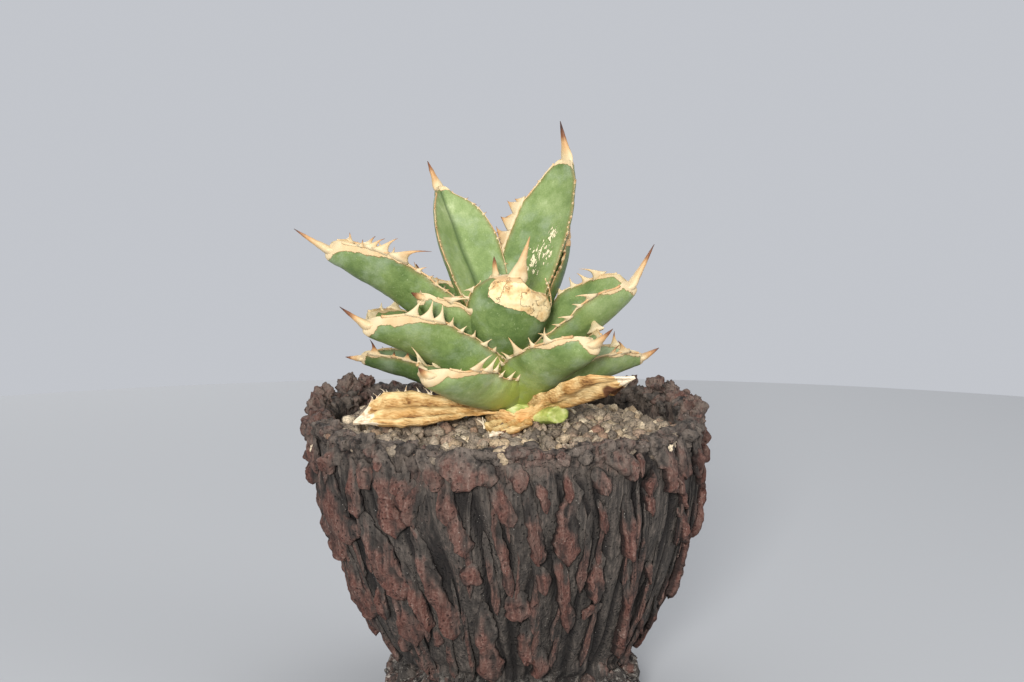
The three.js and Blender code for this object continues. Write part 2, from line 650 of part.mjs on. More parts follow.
const living = [roomForStem, ...roomForLeaves, ...roomForEdges];
const roomForDried = [];
for (const leaf of driedLeaves) {
  addPiece(leaf.name, biggest(cut(driedSolid(leaf), [...living, ...roomForDried])), straw);
  roomForDried.push(driedSolid(leaf, clearance));
}
addPiece("cut_leaf_stub", biggest(cut(stubSolid(), [...living, ...roomForDried])), budGreen);

const grit = leaned(fuse([soilBody(), ...pebbles()]));
const rooms = [...living, ...roomForDried, stubSolid(clearance)];
const nested = rooms.filter((room) => room.intersect(grit).volume() > 0);
addPiece("soil", biggest(cut(grit, nested)), finish(0x6b6058, 0.95));

export default object;
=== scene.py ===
# The looks of a potted agave: a toothed rosette with its dried leaves, standing in grit in a
# rough hand-built stoneware pot. Lengths in the dictionaries are millimetres. Headings are
# degrees from +X towards +Y, so 270 is the front.
import math
import random

import bmesh
import bpy
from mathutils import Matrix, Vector, noise


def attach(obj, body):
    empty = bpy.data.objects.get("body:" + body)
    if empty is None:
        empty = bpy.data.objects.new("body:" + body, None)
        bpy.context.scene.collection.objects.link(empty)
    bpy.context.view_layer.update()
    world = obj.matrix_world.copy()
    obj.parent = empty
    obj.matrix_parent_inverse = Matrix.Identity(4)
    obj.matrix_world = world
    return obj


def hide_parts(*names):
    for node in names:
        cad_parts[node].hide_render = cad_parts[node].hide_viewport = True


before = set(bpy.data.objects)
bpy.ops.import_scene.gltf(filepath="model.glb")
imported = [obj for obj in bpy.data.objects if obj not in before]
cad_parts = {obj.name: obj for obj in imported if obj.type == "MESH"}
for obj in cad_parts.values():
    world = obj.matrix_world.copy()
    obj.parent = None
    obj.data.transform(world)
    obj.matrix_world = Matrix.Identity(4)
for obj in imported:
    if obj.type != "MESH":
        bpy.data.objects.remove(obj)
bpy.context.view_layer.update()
mm = 0.001
partSize = 5000  # points that a bmesh holds before it is put by
goldenAngle = 137.508  # degrees


def mix(low, high, share):
    return low + (high - low) * share


def clamp(value, low=0.0, high=1.0):
    return max(low, min(high, value))


def smooth(low, high, value):
    share = clamp((value - low) / (high - low))
    return share * share * (3 - 2 * share)


def alongStops(stops, t):
    # the value at t of a run of (position, value) stops, straight between them
    if t <= stops[0][0]:
        return stops[0][1]
    for (before, low), (after, high) in zip(stops, stops[1:]):
        if t <= after:
            return mix(low, high, (t - before) / (after - before))
    return stops[-1][1]


def rough(point, size, seed=0.0):
    # smooth noise from -1 to 1 whose bumps are about this size
    return noise.noise(Vector(point) / size + Vector((seed, 1.7 * seed, -seed)))


def heading(degrees):
    return Vector((math.cos(math.radians(degrees)), math.sin(math.radians(degrees)), 0))


class Form:
    # A mesh in the making. Its points carry named marks that the materials read.
    def __init__(self, name, *marks):
        self.name = name
        self.markNames = marks
        self.parts = []
        self.begin()

    def begin(self):
        self.shape = bmesh.new()
        self.marks = {mark: self.shape.verts.layers.float.new(mark) for mark in self.markNames}

    def setAside(self):
        # operators slow down in a big bmesh, so a part that has grown is put by as a mesh
        part = bpy.data.meshes.new("part")
        self.shape.to_mesh(part)
        self.shape.free()
        self.parts.append(part)
        self.begin()

    def put(self, vertex, point, marks):
        vertex.co = point * mm
        for mark, value in marks.items():
            vertex[self.marks[mark]] = value

    def skin(self, sides, rings, place):
        # a sphere's rings laid out along a form: place(t, angle), with no angle at its ends
        made = bmesh.ops.create_uvsphere(self.shape, u_segments=sides, v_segments=rings + 1, radius=1)
        for vertex in made["verts"]:
            ring = round(math.acos(clamp(-vertex.co.z, -1, 1)) / math.pi * (rings + 1))
            isEnd = ring in (0, rings + 1)
            angle = None if isEnd else math.atan2(vertex.co.y, vertex.co.x)
            point, marks = place(clamp((ring - 1) / (rings - 1)), angle)
            self.put(vertex, point, marks)
        if len(self.shape.verts) > partSize:
            self.setAside()

    def lump(self, middle, radius, detail, seed, squash, roughness, marks):
        # a rounded grain or crumb; the finer ones have creases too
        made = bmesh.ops.create_icosphere(self.shape, subdivisions=detail, radius=1)
        for vertex in made["verts"]:
            out = vertex.co.copy()
            swell = 1 + roughness * rough(out, 0.9, seed) + 0.5 * roughness * rough(out, 0.4, seed)
            if detail > 2:
                swell -= roughness * abs(rough(out, 0.6, seed + 3))
                swell += 0.3 * roughness * rough(out, 0.22, seed)
            stretched = Vector([out[i] * squash[i] for i in range(3)])
            self.put(vertex, middle + stretched * radius * swell, marks)
        if len(self.shape.verts) > partSize:
            self.setAside()

    def finish(self, material, slot, *nodes):
        for part in self.parts:
            self.shape.from_mesh(part)
            bpy.data.meshes.remove(part)
        bmesh.ops.recalc_face_normals(self.shape, faces=self.shape.faces)
        mesh = bpy.data.meshes.new(self.name)
        self.shape.to_mesh(mesh)
        self.shape.free()
        mesh.shade_smooth()
        mesh.materials.append(material)
        piece = bpy.data.objects.new(self.name, mesh)
        bpy.context.scene.collection.objects.link(piece)
        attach(piece, "root")
        if nodes:
            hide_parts(*nodes)


class Wire:
    # One output of a material's nodes. Arithmetic on it adds Math nodes.
    def __init__(self, paint, socket):
        self.paint = paint
        self.socket = socket

    def maths(self, operation, *values):
        inputs = dict(enumerate(values))
        return self.paint.add("ShaderNodeMath", {"operation": operation}, inputs)

    def __add__(self, other):
        return self.maths("ADD", self, other)

    def __radd__(self, other):
        return self.maths("ADD", other, self)

    def __sub__(self, other):
        return self.maths("SUBTRACT", self, other)

    def __rsub__(self, other):
        return self.maths("SUBTRACT", other, self)

    def __mul__(self, other):
        return self.maths("MULTIPLY", self, other)

    def __rmul__(self, other):
        return self.maths("MULTIPLY", other, self)

    def size(self):
        return self.maths("ABSOLUTE", self)

    def over(self, low, high):
        # 0 below low, 1 above high, eased between
        inputs = {"Value": self, "From Min": low, "From Max": high}
        return self.paint.add("ShaderNodeMapRange", {"interpolation_type": "SMOOTHSTEP"}, inputs)

    def most(self, other):
        return self.maths("MAXIMUM", self, other)


class Paint:
    # A material with one Principled shader, built up by add().
    def __init__(self, name, roughness, **constants):
        self.material = bpy.data.materials.new(name)
        self.material.use_nodes = True
        self.tree = self.material.node_tree
        self.shader = self.tree.nodes["Principled BSDF"]
        self.shader.inputs["Roughness"].default_value = roughness
        for socket, value in constants.items():
            self.shader.inputs[socket.replace("_", " ")].default_value = value

    def add(self, kind, settings=None, inputs=None, output=0):
        node = self.tree.nodes.new(kind)
        for key, value in (settings or {}).items():
            if key == "stops":
                self.setStops(node.color_ramp, value)
            else:
                setattr(node, key, value)
        for key, value in (inputs or {}).items():
            if isinstance(value, Wire):
                self.tree.links.new(value.socket, node.inputs[key])
            else:
                node.inputs[key].default_value = value
        return Wire(self, node.outputs[output])

    def setStops(self, ramp, stops):
        while len(ramp.elements) < len(stops):
            ramp.elements.new(0.5)
        for element, (position, colour) in zip(ramp.elements, stops):
            element.position = position
            element.color = (*colour, 1)

    def place(self):
        return self.add("ShaderNodeTexCoord", output="Object")

    def mark(self, name):
        return self.add("ShaderNodeAttribute", {"attribute_name": name}, output="Fac")

    def stretched(self, place, scale):
        return self.add("ShaderNodeMapping", None, {"Vector": place, "Scale": scale})

    def noise(self, place, size, detail=2.0, roughness=0.5):
        inputs = {"Vector": place, "Scale": 1 / (size * mm), "Detail": detail, "Roughness": roughness}
        return self.add("ShaderNodeTexNoise", None, inputs)

    def cells(self, place, size):
        inputs = {"Vector": place, "Scale": 1 / (size * mm)}
        return self.add("ShaderNodeTexVoronoi", None, inputs, "Distance")

    def ramp(self, factor, *stops):
        return self.add("ShaderNodeValToRGB", {"stops": stops}, {"Fac": factor})

    def blend(self, factor, first, second, how="MIX"):
        colours = {6: first, 7: second}
        for key, colour in colours.items():
            colours[key] = colour if isinstance(colour, Wire) else (*colour, 1)
        settings = {"data_type": "RGBA", "blend_type": how}
        return self.add("ShaderNodeMix", settings, {0: factor, **colours}, 2)

    def bump(self, height, distance):
        return self.add("ShaderNodeBump", None, {"Height": height, "Distance": distance * mm})

    def wear(self, colour, roughness=None, normal=None):
        # links what changes over the surface, and gives the material
        for socket, wire in (("Base Color", colour), ("Roughness", roughness), ("Normal", normal)):
            if wire:
                self.tree.links.new(wire.socket, self.shader.inputs[socket])
        return self.material


hornColours = {
    "pale": (0.66, 0.55, 0.35),
    "cream": (0.62, 0.46, 0.25),
    "tan": (0.55, 0.32, 0.14),
    "brown": (0.22, 0.085, 0.035),
    "tip": (0.06, 0.024, 0.016),
    "stain": (0.62, 0.38, 0.18),
}


def hornColour(paint, place, reach):
    # cream at the root, through tan and red-brown to nearly black at the point
    streaks = paint.noise(paint.stretched(place, (1, 1, 0.5)), 2.2, 3)
    turned = reach + (streaks - 0.5) * 0.35
    return paint.ramp(turned, (0.0, hornColours["pale"]), (0.28, hornColours["cream"]),
                      (0.52, hornColours["tan"]), (0.72, hornColours["brown"]), (1.0, hornColours["tip"]))


def hornPaint():
    paint = Paint("agaveHorn", 0.55, Specular_IOR_Level=0.35)
    place = paint.place()
    fine = paint.noise(place, 0.5, 3)
    colour = hornColour(paint, place, paint.mark("reach"))
    stained = paint.noise(place, 5, 2).over(0.52, 0.7) * 0.4
    colour = paint.blend(stained, colour, hornColours["stain"], "MULTIPLY")
    return paint.wear(colour, fine * 0.3 + 0.42, paint.bump(fine, 0.12))


leafColours = {
    "greens": [(0.0, (0.065, 0.112, 0.032)), (0.3, (0.125, 0.185, 0.055)), (0.6, (0.20, 0.27, 0.09)),
               (0.85, (0.29, 0.36, 0.15)), (1.0, (0.40, 0.46, 0.23))],
    "young": (0.40, 0.47, 0.08),
    "bloom": (0.31, 0.37, 0.25),
    "dash": (0.5, 0.55, 0.3),
    "pore": (0.5, 0.62, 0.42),
    "crease": (0.045, 0.08, 0.02),
    "margin": (0.2, 0.13, 0.04),
    "scar": (0.8, 0.7, 0.45),
    "bark": [(0.3, (0.50, 0.29, 0.11)), (0.42, (0.72, 0.50, 0.24)), (0.55, (0.80, 0.62, 0.34)),
             (0.75, (0.82, 0.68, 0.42))],
    "barkRim": (0.30, 0.14, 0.05),
    "crack": (0.25, 0.12, 0.05),
    "hornRim": (0.36, 0.17, 0.06),
}


def leafPaint():
    # green flesh in patches with a pale bloom, and on it scars, cork and the horn's border
    paint = Paint("agaveLeaf", 0.5, Specular_IOR_Level=0.4)
    place = paint.place()
    along, edge, tone = paint.mark("along"), paint.mark("edge"), paint.mark("tone")
    patches = paint.noise(place, 13, 3)
    mottle = paint.noise(place, 2.4, 3, 0.6)
    pores = paint.noise(place, 0.45, 2)
    depth = (patches - 0.5) * 1.5 + (mottle - 0.5) * 0.55 + tone * 0.55 + 0.5
    colour = paint.ramp(depth, *leafColours["greens"])
    young = (along - paint.mark("young")).over(0.45, 0.02) * 0.85
    colour = paint.blend(young, colour, leafColours["young"])
    bloom = paint.noise(place, 7, 4, 0.6).over(0.46, 0.72) * 0.5
    colour = paint.blend(bloom, colour, leafColours["bloom"])
    dashes = paint.noise(paint.stretched(place, (1, 1, 0.35)), 0.55, 2).over(0.66, 0.74)
    colour = paint.blend(dashes * 0.35, colour, leafColours["dash"])
    colour = paint.blend(pores.over(0.35, 0.65) * 0.3, colour, leafColours["pore"], "MULTIPLY")
    # painted shade: a dark line down the middle of the channel, where its crease lies in shadow
    colour = paint.blend(paint.mark("crease") * 0.85, colour, leafColours["crease"])
    colour = paint.blend(edge.over(1.6, 0.2) * 0.55, colour, leafColours["margin"])
    ragged = paint.noise(place, 1.3, 3, 0.6)
    flecks = paint.noise(paint.stretched(place, (1, 1, 0.36)), 0.85, 2, 0.6)
    scarred = (paint.mark("scar") * 0.8 + (flecks - 0.5) * 2.2).over(0.6, 0.7)
    colour = paint.blend(scarred, colour, leafColours["scar"])
    cork = (paint.mark("cork") + (ragged - 0.5) * 0.5).over(0.46, 0.54)
    wander = (paint.noise(place, 6, 4, 0.6) - 0.5).size()
    cracks = wander.over(0.014, 0.002) * paint.noise(place, 6, 2).over(0.42, 0.55)
    bark = paint.ramp(paint.noise(place, 3.4, 4, 0.6), *leafColours["bark"])
    bark = paint.blend(cork.over(0.999, 0.5) * 0.6, bark, leafColours["barkRim"])
    bark = paint.blend(cracks * 0.5, bark, leafColours["crack"])
    colour = paint.blend(cork, colour, bark)
    horn = paint.mark("horn") + (ragged - 0.5) * 0.75
    horny = horn.over(0.47, 0.53)
    border = horn.over(0.40, 0.47) - horny
    colour = paint.blend(border * 0.7, colour, leafColours["hornRim"])
    colour = paint.blend(horny, colour, hornColour(paint, place, paint.mark("reach")))
    dry = horny.most(cork).most(scarred)
    relief = pores * 0.25 + mottle * 0.5 + dry * 0.6 - cracks * cork * 1.5
    return paint.wear(colour, dry * 0.2 + mottle * 0.14 + 0.36, paint.bump(relief, 0.28))


youngGreens = [(0.3, (0.24, 0.30, 0.06)), (0.5, (0.42, 0.47, 0.12)), (0.7, (0.60, 0.61, 0.27))]


def youngPaint():
    paint = Paint("agaveYoung", 0.45, Specular_IOR_Level=0.4)
    place = paint.place()
    streaks = paint.noise(paint.stretched(place, (0.5, 0.5, 1)), 1.3, 3)
    return paint.wear(paint.ramp(streaks, *youngGreens), streaks * 0.3 + 0.3, paint.bump(streaks, 0.2))


strawColours = {
    "fibres": [(0.0, (0.17, 0.075, 0.025)), (0.25, (0.46, 0.25, 0.085)), (0.5, (0.67, 0.44, 0.19)),
               (0.8, (0.85, 0.63, 0.31))],
    "orange": (0.62, 0.31, 0.085),
    "char": (0.13, 0.055, 0.025),
    "tip": [(0.35, (0.60, 0.42, 0.25)), (0.5, (0.82, 0.69, 0.50))],
}


def driedPaint():
    paint = Paint("driedLeaf", 0.75, Specular_IOR_Level=0.25)
    place = paint.place()
    fold, along, burnt = paint.mark("fold"), paint.mark("along"), paint.mark("burnt")
    fibres = paint.noise(paint.stretched(place, (0.3, 1.3, 1.8)), 0.9, 3, 0.6)
    patches = paint.noise(place, 6, 3)
    depth = fold * 0.34 + (patches - 0.5) * 0.8 + (fibres - 0.5) * 1.3 + 0.34
    colour = paint.ramp(depth, *strawColours["fibres"])
    orange = paint.noise(place, 9, 2).over(0.52, 0.68) * 0.45
    colour = paint.blend(orange, colour, strawColours["orange"])
    char = (burnt + (patches - 0.5) * 0.7).over(0.42, 0.6)
    colour = paint.blend(char, colour, strawColours["char"])
    ragged = paint.noise(place, 1.4, 3)
    white = (along + (ragged - 0.5) * 0.16).over(0.865, 0.885)
    colour = paint.blend(white, colour, paint.ramp(ragged, *strawColours["tip"]))
    return paint.wear(colour, fibres * 0.2 + 0.6, paint.bump(fibres * 0.9 + patches * 0.3, 0.5))


clayColours = {
    "combed": [(0.3, (0.016, 0.0135, 0.012)), (0.47, (0.044, 0.037, 0.031)), (0.6, (0.092, 0.075, 0.062)),
               (0.75, (0.19, 0.16, 0.135))],
    "pressedDark": (0.3, (0.034, 0.014, 0.010)),
    "pressedPale": [(0.58, (0.145, 0.076, 0.058)), (0.7, (0.27, 0.185, 0.15))],
    "film": (0.10, 0.072, 0.058),
    "pit": (0.02, 0.015, 0.013),
    "dust": (0.19, 0.15, 0.12),
    # also the colour of the painted glints
    "lime": (0.62, 0.57, 0.49),
    "limeBelow": (20, 7),  # where the foot's lime deposit begins and is full
    "dustAbove": (74, 86),
}


def clayPaint(name, red, shadeColour, comb):
    # matte clay: charcoal where it was combed, red-brown where slabs were pressed on, and painted shade
    # where the groove mark is low
    paint = Paint(name, 0.85, Specular_IOR_Level=0.3)
    place = paint.place()
    blush, groove, height = paint.mark("blush"), paint.mark("groove"), paint.mark("height")
    streaks = paint.noise(paint.stretched(place, (1, 1, 0.12)), 0.9 if comb else 1.6, 3, 0.65)
    patches = paint.noise(place, 8, 3)
    grains = paint.noise(place, 0.7, 3, 0.6)
    pits = paint.cells(place, 1.5)
    body = paint.ramp(streaks * 0.65 + patches * 0.35, *clayColours["combed"])
    clay = paint.ramp(streaks * 0.5 + grains * 0.5, clayColours["pressedDark"], (0.46, red),
                      *clayColours["pressedPale"])
    film = paint.noise(paint.stretched(place, (1, 1, 0.3)), 3, 3, 0.6).over(0.44, 0.66) * 0.4
    clay = paint.blend(film, clay, clayColours["film"])
    redness = (blush + (patches - 0.5) * 1.3 + (streaks - 0.5) * 1.2).over(0.15, 0.85)
    colour = paint.blend(redness, body, clay)
    # painted shade: near-black where the groove mark is low, in the gaps between the ribs and along the
    # slabs' edges and undersides
    colour = paint.blend(groove.over(0.1, -0.7) * 0.85, colour, shadeColour)
    colour = paint.blend(pits.over(0.16, 0.06) * grains.over(0.45, 0.6) * 0.55, colour, clayColours["pit"])
    dusty = paint.noise(place, 3.5, 4, 0.65).over(0.38, 0.62) * 0.6
    colour = paint.blend(height.over(*clayColours["dustAbove"]) * dusty, colour, clayColours["dust"])
    # painted highlights: small pale glints painted into the colour, in the lime's colour
    glints = paint.cells(place, 1.1).over(0.13, 0.07) * paint.noise(place, 5, 2).over(0.52, 0.66)
    lime = height.over(*clayColours["limeBelow"]) * paint.noise(place, 2.4, 4, 0.75).over(0.52, 0.62)
    colour = paint.blend((glints * 0.5).most(lime * 0.42), colour, clayColours["lime"])
    relief = grains * 0.7 + streaks * (0.9 if comb else 0.6) - pits.over(0.3, 0.0) * 0.8
    return paint.wear(colour, grains * 0.15 + 0.75, paint.bump(relief, 0.9))


gritColours = {
    # by the mark "kind": grey lava, tan, red lava, ochre, white pumice
    "kinds": [(0.0, (0.12, 0.10, 0.08)), (0.25, (0.26, 0.215, 0.165)), (0.5, (0.42, 0.35, 0.26)),
              (0.68, (0.25, 0.15, 0.105)), (0.8, (0.47, 0.36, 0.23)), (1.0, (0.82, 0.70, 0.51))],
    "dust": (0.22, 0.165, 0.115),
    "mottle": [(0.3, (0.45, 0.45, 0.45)), (0.65, (1.25, 1.2, 1.15))],
    "pit": (0.02, 0.016, 0.013),
}


def gritPaint():
    paint = Paint("lavaGrit", 0.9, Specular_IOR_Level=0.25)
    place = paint.place()
    kind = paint.mark("kind")
    grains = paint.noise(place, 0.6, 3, 0.65)
    pits = paint.cells(place, 0.9)
    colour = paint.ramp(kind, *gritColours["kinds"])
    dust = paint.noise(place, 9, 3).over(0.42, 0.6) * 0.4
    colour = paint.blend(dust, colour, gritColours["dust"])
    colour = paint.blend(1.0, colour, paint.ramp(grains, *gritColours["mottle"]), "MULTIPLY")
    colour = paint.blend(pits.over(0.25, 0.08) * 0.7, colour, gritColours["pit"])
    return paint.wear(colour, None, paint.bump(grains - pits.over(0.35, 0.0) * 0.7, 0.4))


leafSkin = leafPaint()
hornSkin = hornPaint()
youngSkin = youngPaint()
straw = driedPaint()
combedClay = clayPaint("combedClay", (0.080, 0.036, 0.027), (0.008, 0.0065, 0.006), True)
slabClay = clayPaint("slabClay", (0.092, 0.036, 0.026), (0.009, 0.006, 0.005), False)
grit = gritPaint()
print("materials made")

pot = {
    "height": 88,
    "rimRadius": 58.5,
    "waistRadius": 35,
    "waistHeight": 15,
    "footBulge": 2.5,
    "footBulgeHeight": 4,
    "bowlPower": 2.1,
    "wall": 6,
    "floor": 12,
    "footRing": 8,
    "footLip": 1.8,  # its inner slope
    "recess": 3.5,
    "drainRadius": 5,
    "clearance": 0.1,  # above what it stands on
    "lean": 1.8,
    "leanBetween": (35, 82),
    "knobs": 1.3,  # how far the rough foot swells in and out
    "rimLift": 0.6,
    "rimWaves": [(1, 0, 2), (5, 1, 0.5), (11, 0, 0.4)],  # how many round the rim, turn, height
    "crust": [(3.4, 5.5), (1.7, 2.6), (0.5, 1.2)],  # height and size of its knobs
    "crustyFoot": (18, 9),
    "crustyRim": (72, 84),
    "drift": 0.1,
    "folds": 1.0,  # how strong the scraped wall's broad folds are, and what lies on them
    "gaps": 2.0,
    "strokes": 0.42,
    "insideHeights": (62, 43, 28),
    "columns": 800,
    "rows": 92,  # up the outside
}
combing = {
    # marks of the scraped wall: how many go round, how long they run, where their noise starts
    "drift": (1.5, 30, (0, 0)),
    "folds": (5, 45, (5, 0)),
    "gaps": (8, 50, (9, 0)),
    "strokes": (24, 40, (0, 7)),
    "hairs": (60, 25, (3, 0)),
}
soil = {"level": 84, "crown": 2, "hollow": 3, "hollowHeading": 35}
stem = {
    "ground": Vector((4.5, -2, 84)),  # where it leaves the soil
    "top": Vector((-2.5, 1, 112)),
    "buried": 15.8,
    "radii": [(0, 5), (0.36, 8.5), (1, 4.5)],
    "sides": 30,
    "rings": 24,
}


def potRadius(z):
    if z < pot["waistHeight"]:
        fromBulge = (z - pot["footBulgeHeight"]) / (pot["waistHeight"] - pot["footBulgeHeight"])
        return pot["waistRadius"] + pot["footBulge"] * math.cos(math.pi / 2 * fromBulge)
    up = min(1.0, (z - pot["waistHeight"]) / (pot["height"] - pot["waistHeight"]))
    bowl = 1 - (1 - up) ** pot["bowlPower"]
    return mix(pot["waistRadius"], pot["rimRadius"], bowl)


def potInside(z):
    return potRadius(max(z, pot["waistHeight"])) - pot["wall"]


def rimRise(degrees):
    # the rim is higher at the back and uneven all round
    a = math.radians(degrees)
    waves = (height * math.sin(count * a + turn) for count, turn, height in pot["rimWaves"])
    return sum(waves, pot["rimLift"])


def leaned(point):
    # the hand-built pot leans: its lower part stands a little to the right
    shift = pot["lean"] * (1 - smooth(*pot["leanBetween"], point.z))
    return point + Vector((shift, 0, 0))


def combed(kind, around, z):
    count, run, start = combing[kind]
    return noise.noise(around * count + Vector((*start, z / run)))


def ribbing(around, z):
    # the scraped wall: broad folds, narrow gaps between its ribs, and fine strokes that drift
    drift = pot["drift"] * combed("drift", around, z)
    turned = Vector((around.x - around.y * drift, around.y + around.x * drift, 0))
    gaps = (1 - abs(combed("gaps", turned, z))) ** 5
    strokes = combed("strokes", turned, z) + 0.5 * combed("hairs", turned, z)
    return combed("folds", turned, z), gaps, strokes


def crust(point):
    # knobbly clay: rounded bumps with creases between them
    (high, broad), (low, narrow), (least, finest) = pot["crust"]
    knobs = high * abs(rough(point, broad)) + low * abs(rough(point, narrow, 4))
    return knobs + least * rough(point, finest)


def footKnobs(degrees, z):
    # the foot is a ring of knobs, which fade out where the bowl begins
    a = math.radians(degrees)
    waves = math.sin(9 * a + 0.6 * z) + 0.7 * math.sin(13 * a - 0.9 * z)
    return pot["knobs"] * waves * (1 - smooth(pot["waistHeight"], 1.6 * pot["waistHeight"], z))


def potOutline():
    # radius and height round the wall's section; the outside is a straight line that is shaped later
    inner = potInside(pot["height"])
    footInside = pot["waistRadius"] - pot["footRing"]
    outline = [(pot["drainRadius"], pot["recess"]), (footInside, pot["recess"]),
               (footInside + pot["footLip"], 2 * pot["clearance"])]
    for i in range(pot["rows"] + 1):
        share = i / pot["rows"]
        finer = share - 0.07 * math.sin(2 * math.pi * share)  # closer rows at the foot and the rim
        outline.append((potRadius(0), pot["clearance"] + (pot["height"] - pot["clearance"]) * finer))
    outline += [(pot["rimRadius"] - 1.3 * i, pot["height"] + 0.2) for i in range(1, 4)]
    outline += [(inner, pot["height"] - 1 - 1.2 * i) for i in range(7)]
    outline += [(potInside(z), z) for z in pot["insideHeights"]]
    return outline + [(potInside(0) - 1, pot["floor"]), (pot["drainRadius"], pot["floor"])]


def makePotBody():
    form = Form("potBody", "blush", "groove", "height")
    outline = potOutline()
    corners = [form.shape.verts.new((radius * mm, 0, z * mm)) for radius, z in outline]
    edges = [form.shape.edges.new(pair) for pair in zip(corners, corners[1:] + corners[:1])]
    bmesh.ops.spin(form.shape, geom=corners + edges, axis=(0, 0, 1), cent=(0, 0, 0),
                   steps=pot["columns"], angle=2 * math.pi, use_merge=True)
    for vertex in form.shape.verts:
        point = vertex.co / mm
        around = Vector((point.x, point.y, 0)).normalized()
        degrees = math.degrees(math.atan2(around.y, around.x))
        isOuter = abs(math.hypot(point.x, point.y) - potRadius(0)) < 0.01
        z = point.z
        folds, gaps, strokes = ribbing(around, z)
        crustyFrom, crustyAt = pot["crustyRim"]
        ruin = smooth(*pot["crustyFoot"], z) + smooth(crustyFrom + 6 * folds, crustyAt, z)
        if isOuter:
            wall = pot["folds"] * folds - pot["gaps"] * gaps + pot["strokes"] * strokes - 0.2
            crusty = crust(around * potRadius(z) + Vector((0, 0, z))) - 1.9
            radius = potRadius(z) + footKnobs(degrees, z) + mix(wall, crusty, min(1.0, ruin))
            point = around * radius + Vector((0, 0, z))
        elif z > soil["level"] - 6:
            bumps = crust(point) - 1.2
            top = smooth(soil["level"] - 2, pot["height"], z)
            point += around * bumps * 0.3 + Vector((0, 0, bumps * 0.6 * top))
        point.z += smooth(soil["level"], pot["height"], z) * rimRise(degrees)
        marks = {"blush": 0.38 * ruin + 0.3 * folds, "height": z}
        # painted shade: the mark is low in the narrow gaps between the ribs, and a little along the
        # strokes, which the clay's material darkens
        marks["groove"] = strokes * 0.5 - gaps * 1.3 + 0.2
        form.put(vertex, leaned(point), marks)
    form.finish(combedClay, "stoneware", "pot")


makePotBody()
print("pot body made")

# Slabs pressed on the pot: heading and height of the top end, then of the lower end, and the
# width. Those on the front follow the real pot one by one.
frontSlabs = [
    (205, 83, 214, 56, 10.5), (188, 64, 206, 50, 4.5), (206, 52, 208, 32, 5.4),
    (221, 82, 223, 66, 3.8), (223, 66, 234, 43, 8.4), (233, 87, 236, 63, 7.5),
    (247, 78, 241, 66, 4.2), (242, 65, 249, 32, 5.4), (235.5, 53, 240, 33, 3.9),
    (223, 48, 218, 33, 3.2), (228, 45, 232.5, 28, 6), (220, 28, 224, 24, 3.6),
    (240.5, 33, 241, 28, 3), (246, 87, 252, 77, 4.4), (257, 87.5, 257, 80.6, 6.6),
    (257, 88, 260, 77.5, 9), (264, 84, 264, 79, 6), (252, 75, 258, 58.5, 5.1), (268, 79.5, 270, 72, 2.4),
    (276, 79, 278, 56, 4.5), (259, 55, 258, 49.5, 5.7), (261, 43, 261, 18, 6),
    (271, 46.5, 273, 38.5, 6.5), (275, 37, 276, 24, 4.8), (281, 28, 282, 19, 5.7),
    (283, 60.5, 289, 34, 4.2), (278, 54, 280, 48, 3.9), (266, 73.5, 270.5, 46.5, 3),
    (288, 79, 287, 56, 6.6), (296, 72.5, 298.5, 64, 2.7), (298, 57, 296, 43, 4.8),
    (302, 40, 294, 38, 2.7), (305, 73, 308, 55, 5.1), (296, 87, 306, 81, 5.1),
    (311.5, 76, 315.5, 67, 3), (318, 86, 326, 72, 8.1), (328, 75, 333, 65, 3),
    (338, 85, 352, 68, 4), (340, 64, 347, 36, 6.6), (330, 65, 338.5, 55, 4.2),
    (308, 55, 319, 22, 4.4), (318, 51, 320, 46, 2.7), (323, 36, 331, 27, 3.2),
    (333, 37, 347, 25, 2.7),
]
slab = {
    "sunk": 1.4,  # how deep its underside lies in the wall
    "broader": 1.12,
    "widths": [(0, 0.3), (0.25, 0.42), (0.6, 0.46), (0.82, 0.52), (1, 0.5)],  # halves, down the slab
    "endFrom": 0.88,  # where its lower end begins to round
    "proud": (0.5, 3.4),  # how far it stands out above and below
    "proudWidth": 4.5,  # narrower ones stand out less
    "overhang": 1.4,
    "lean": 9,
    "pitch": 22,  # degrees between those at the back
    "backTo": 198,
    "small": 22,
    "smallPitch": 9.6,
    "crusts": 46,
    "ridges": 84,
    "ridgeBlush": -0.25,  # they are the colour of the wall
    "mesh": (26, 44),  # sides and rings
    "ridgeMesh": (16, 34),
}


def seededRandom(seed):
    # the same draws as the solids are made with, so the slabs at the back lie on theirs
    while True:
        seed = (seed * 1664525 + 1013904223) % 4294967296
        yield seed / 4294967296


def backSlabs():
    draws = seededRandom(11)
    rows = []
    for degrees in range(0, slab["backTo"], slab["pitch"]):
        split = mix(48, 64, next(draws))
        lean = slab["lean"] * (next(draws) - 0.5) * 2
        rows.append((degrees, mix(80, 86, next(draws)), degrees + lean, split, mix(4, 8, next(draws))))
        below = degrees + slab["pitch"] * mix(0.3, 0.6, next(draws))
        top = split + mix(-4, 8, next(draws))
        rows.append((below, top, below + lean, mix(20, 32, next(draws)), mix(4, 7, next(draws))))
    return rows


def smallSlabs():
    # thinner strips between the others at the back and the sides
    draws = random.Random(3)
    rows = []
    for i in range(slab["small"]):
        degrees = -6 + i * slab["smallPitch"] + draws.uniform(-2, 2)
        top = draws.choice((84, 66, 50, 40)) + draws.uniform(-6, 4)
        end = degrees + draws.uniform(-5, 5)
        rows.append((degrees, top, end, top - draws.uniform(8, 20), draws.uniform(2.2, 4)))
    return rows


def ridges():
    # long thin ridges that the comb left between the slabs, all round
    draws = random.Random(21)
    rows = []
    for i in range(slab["ridges"]):
        degrees = 360 * (i + draws.random()) / slab["ridges"]
        top = draws.uniform(38, 86)
        end = max(17, top - draws.uniform(18, 44))
        rows.append((degrees, top, degrees + draws.uniform(-4, 4), end, draws.uniform(1.1, 2.6)))
    return rows


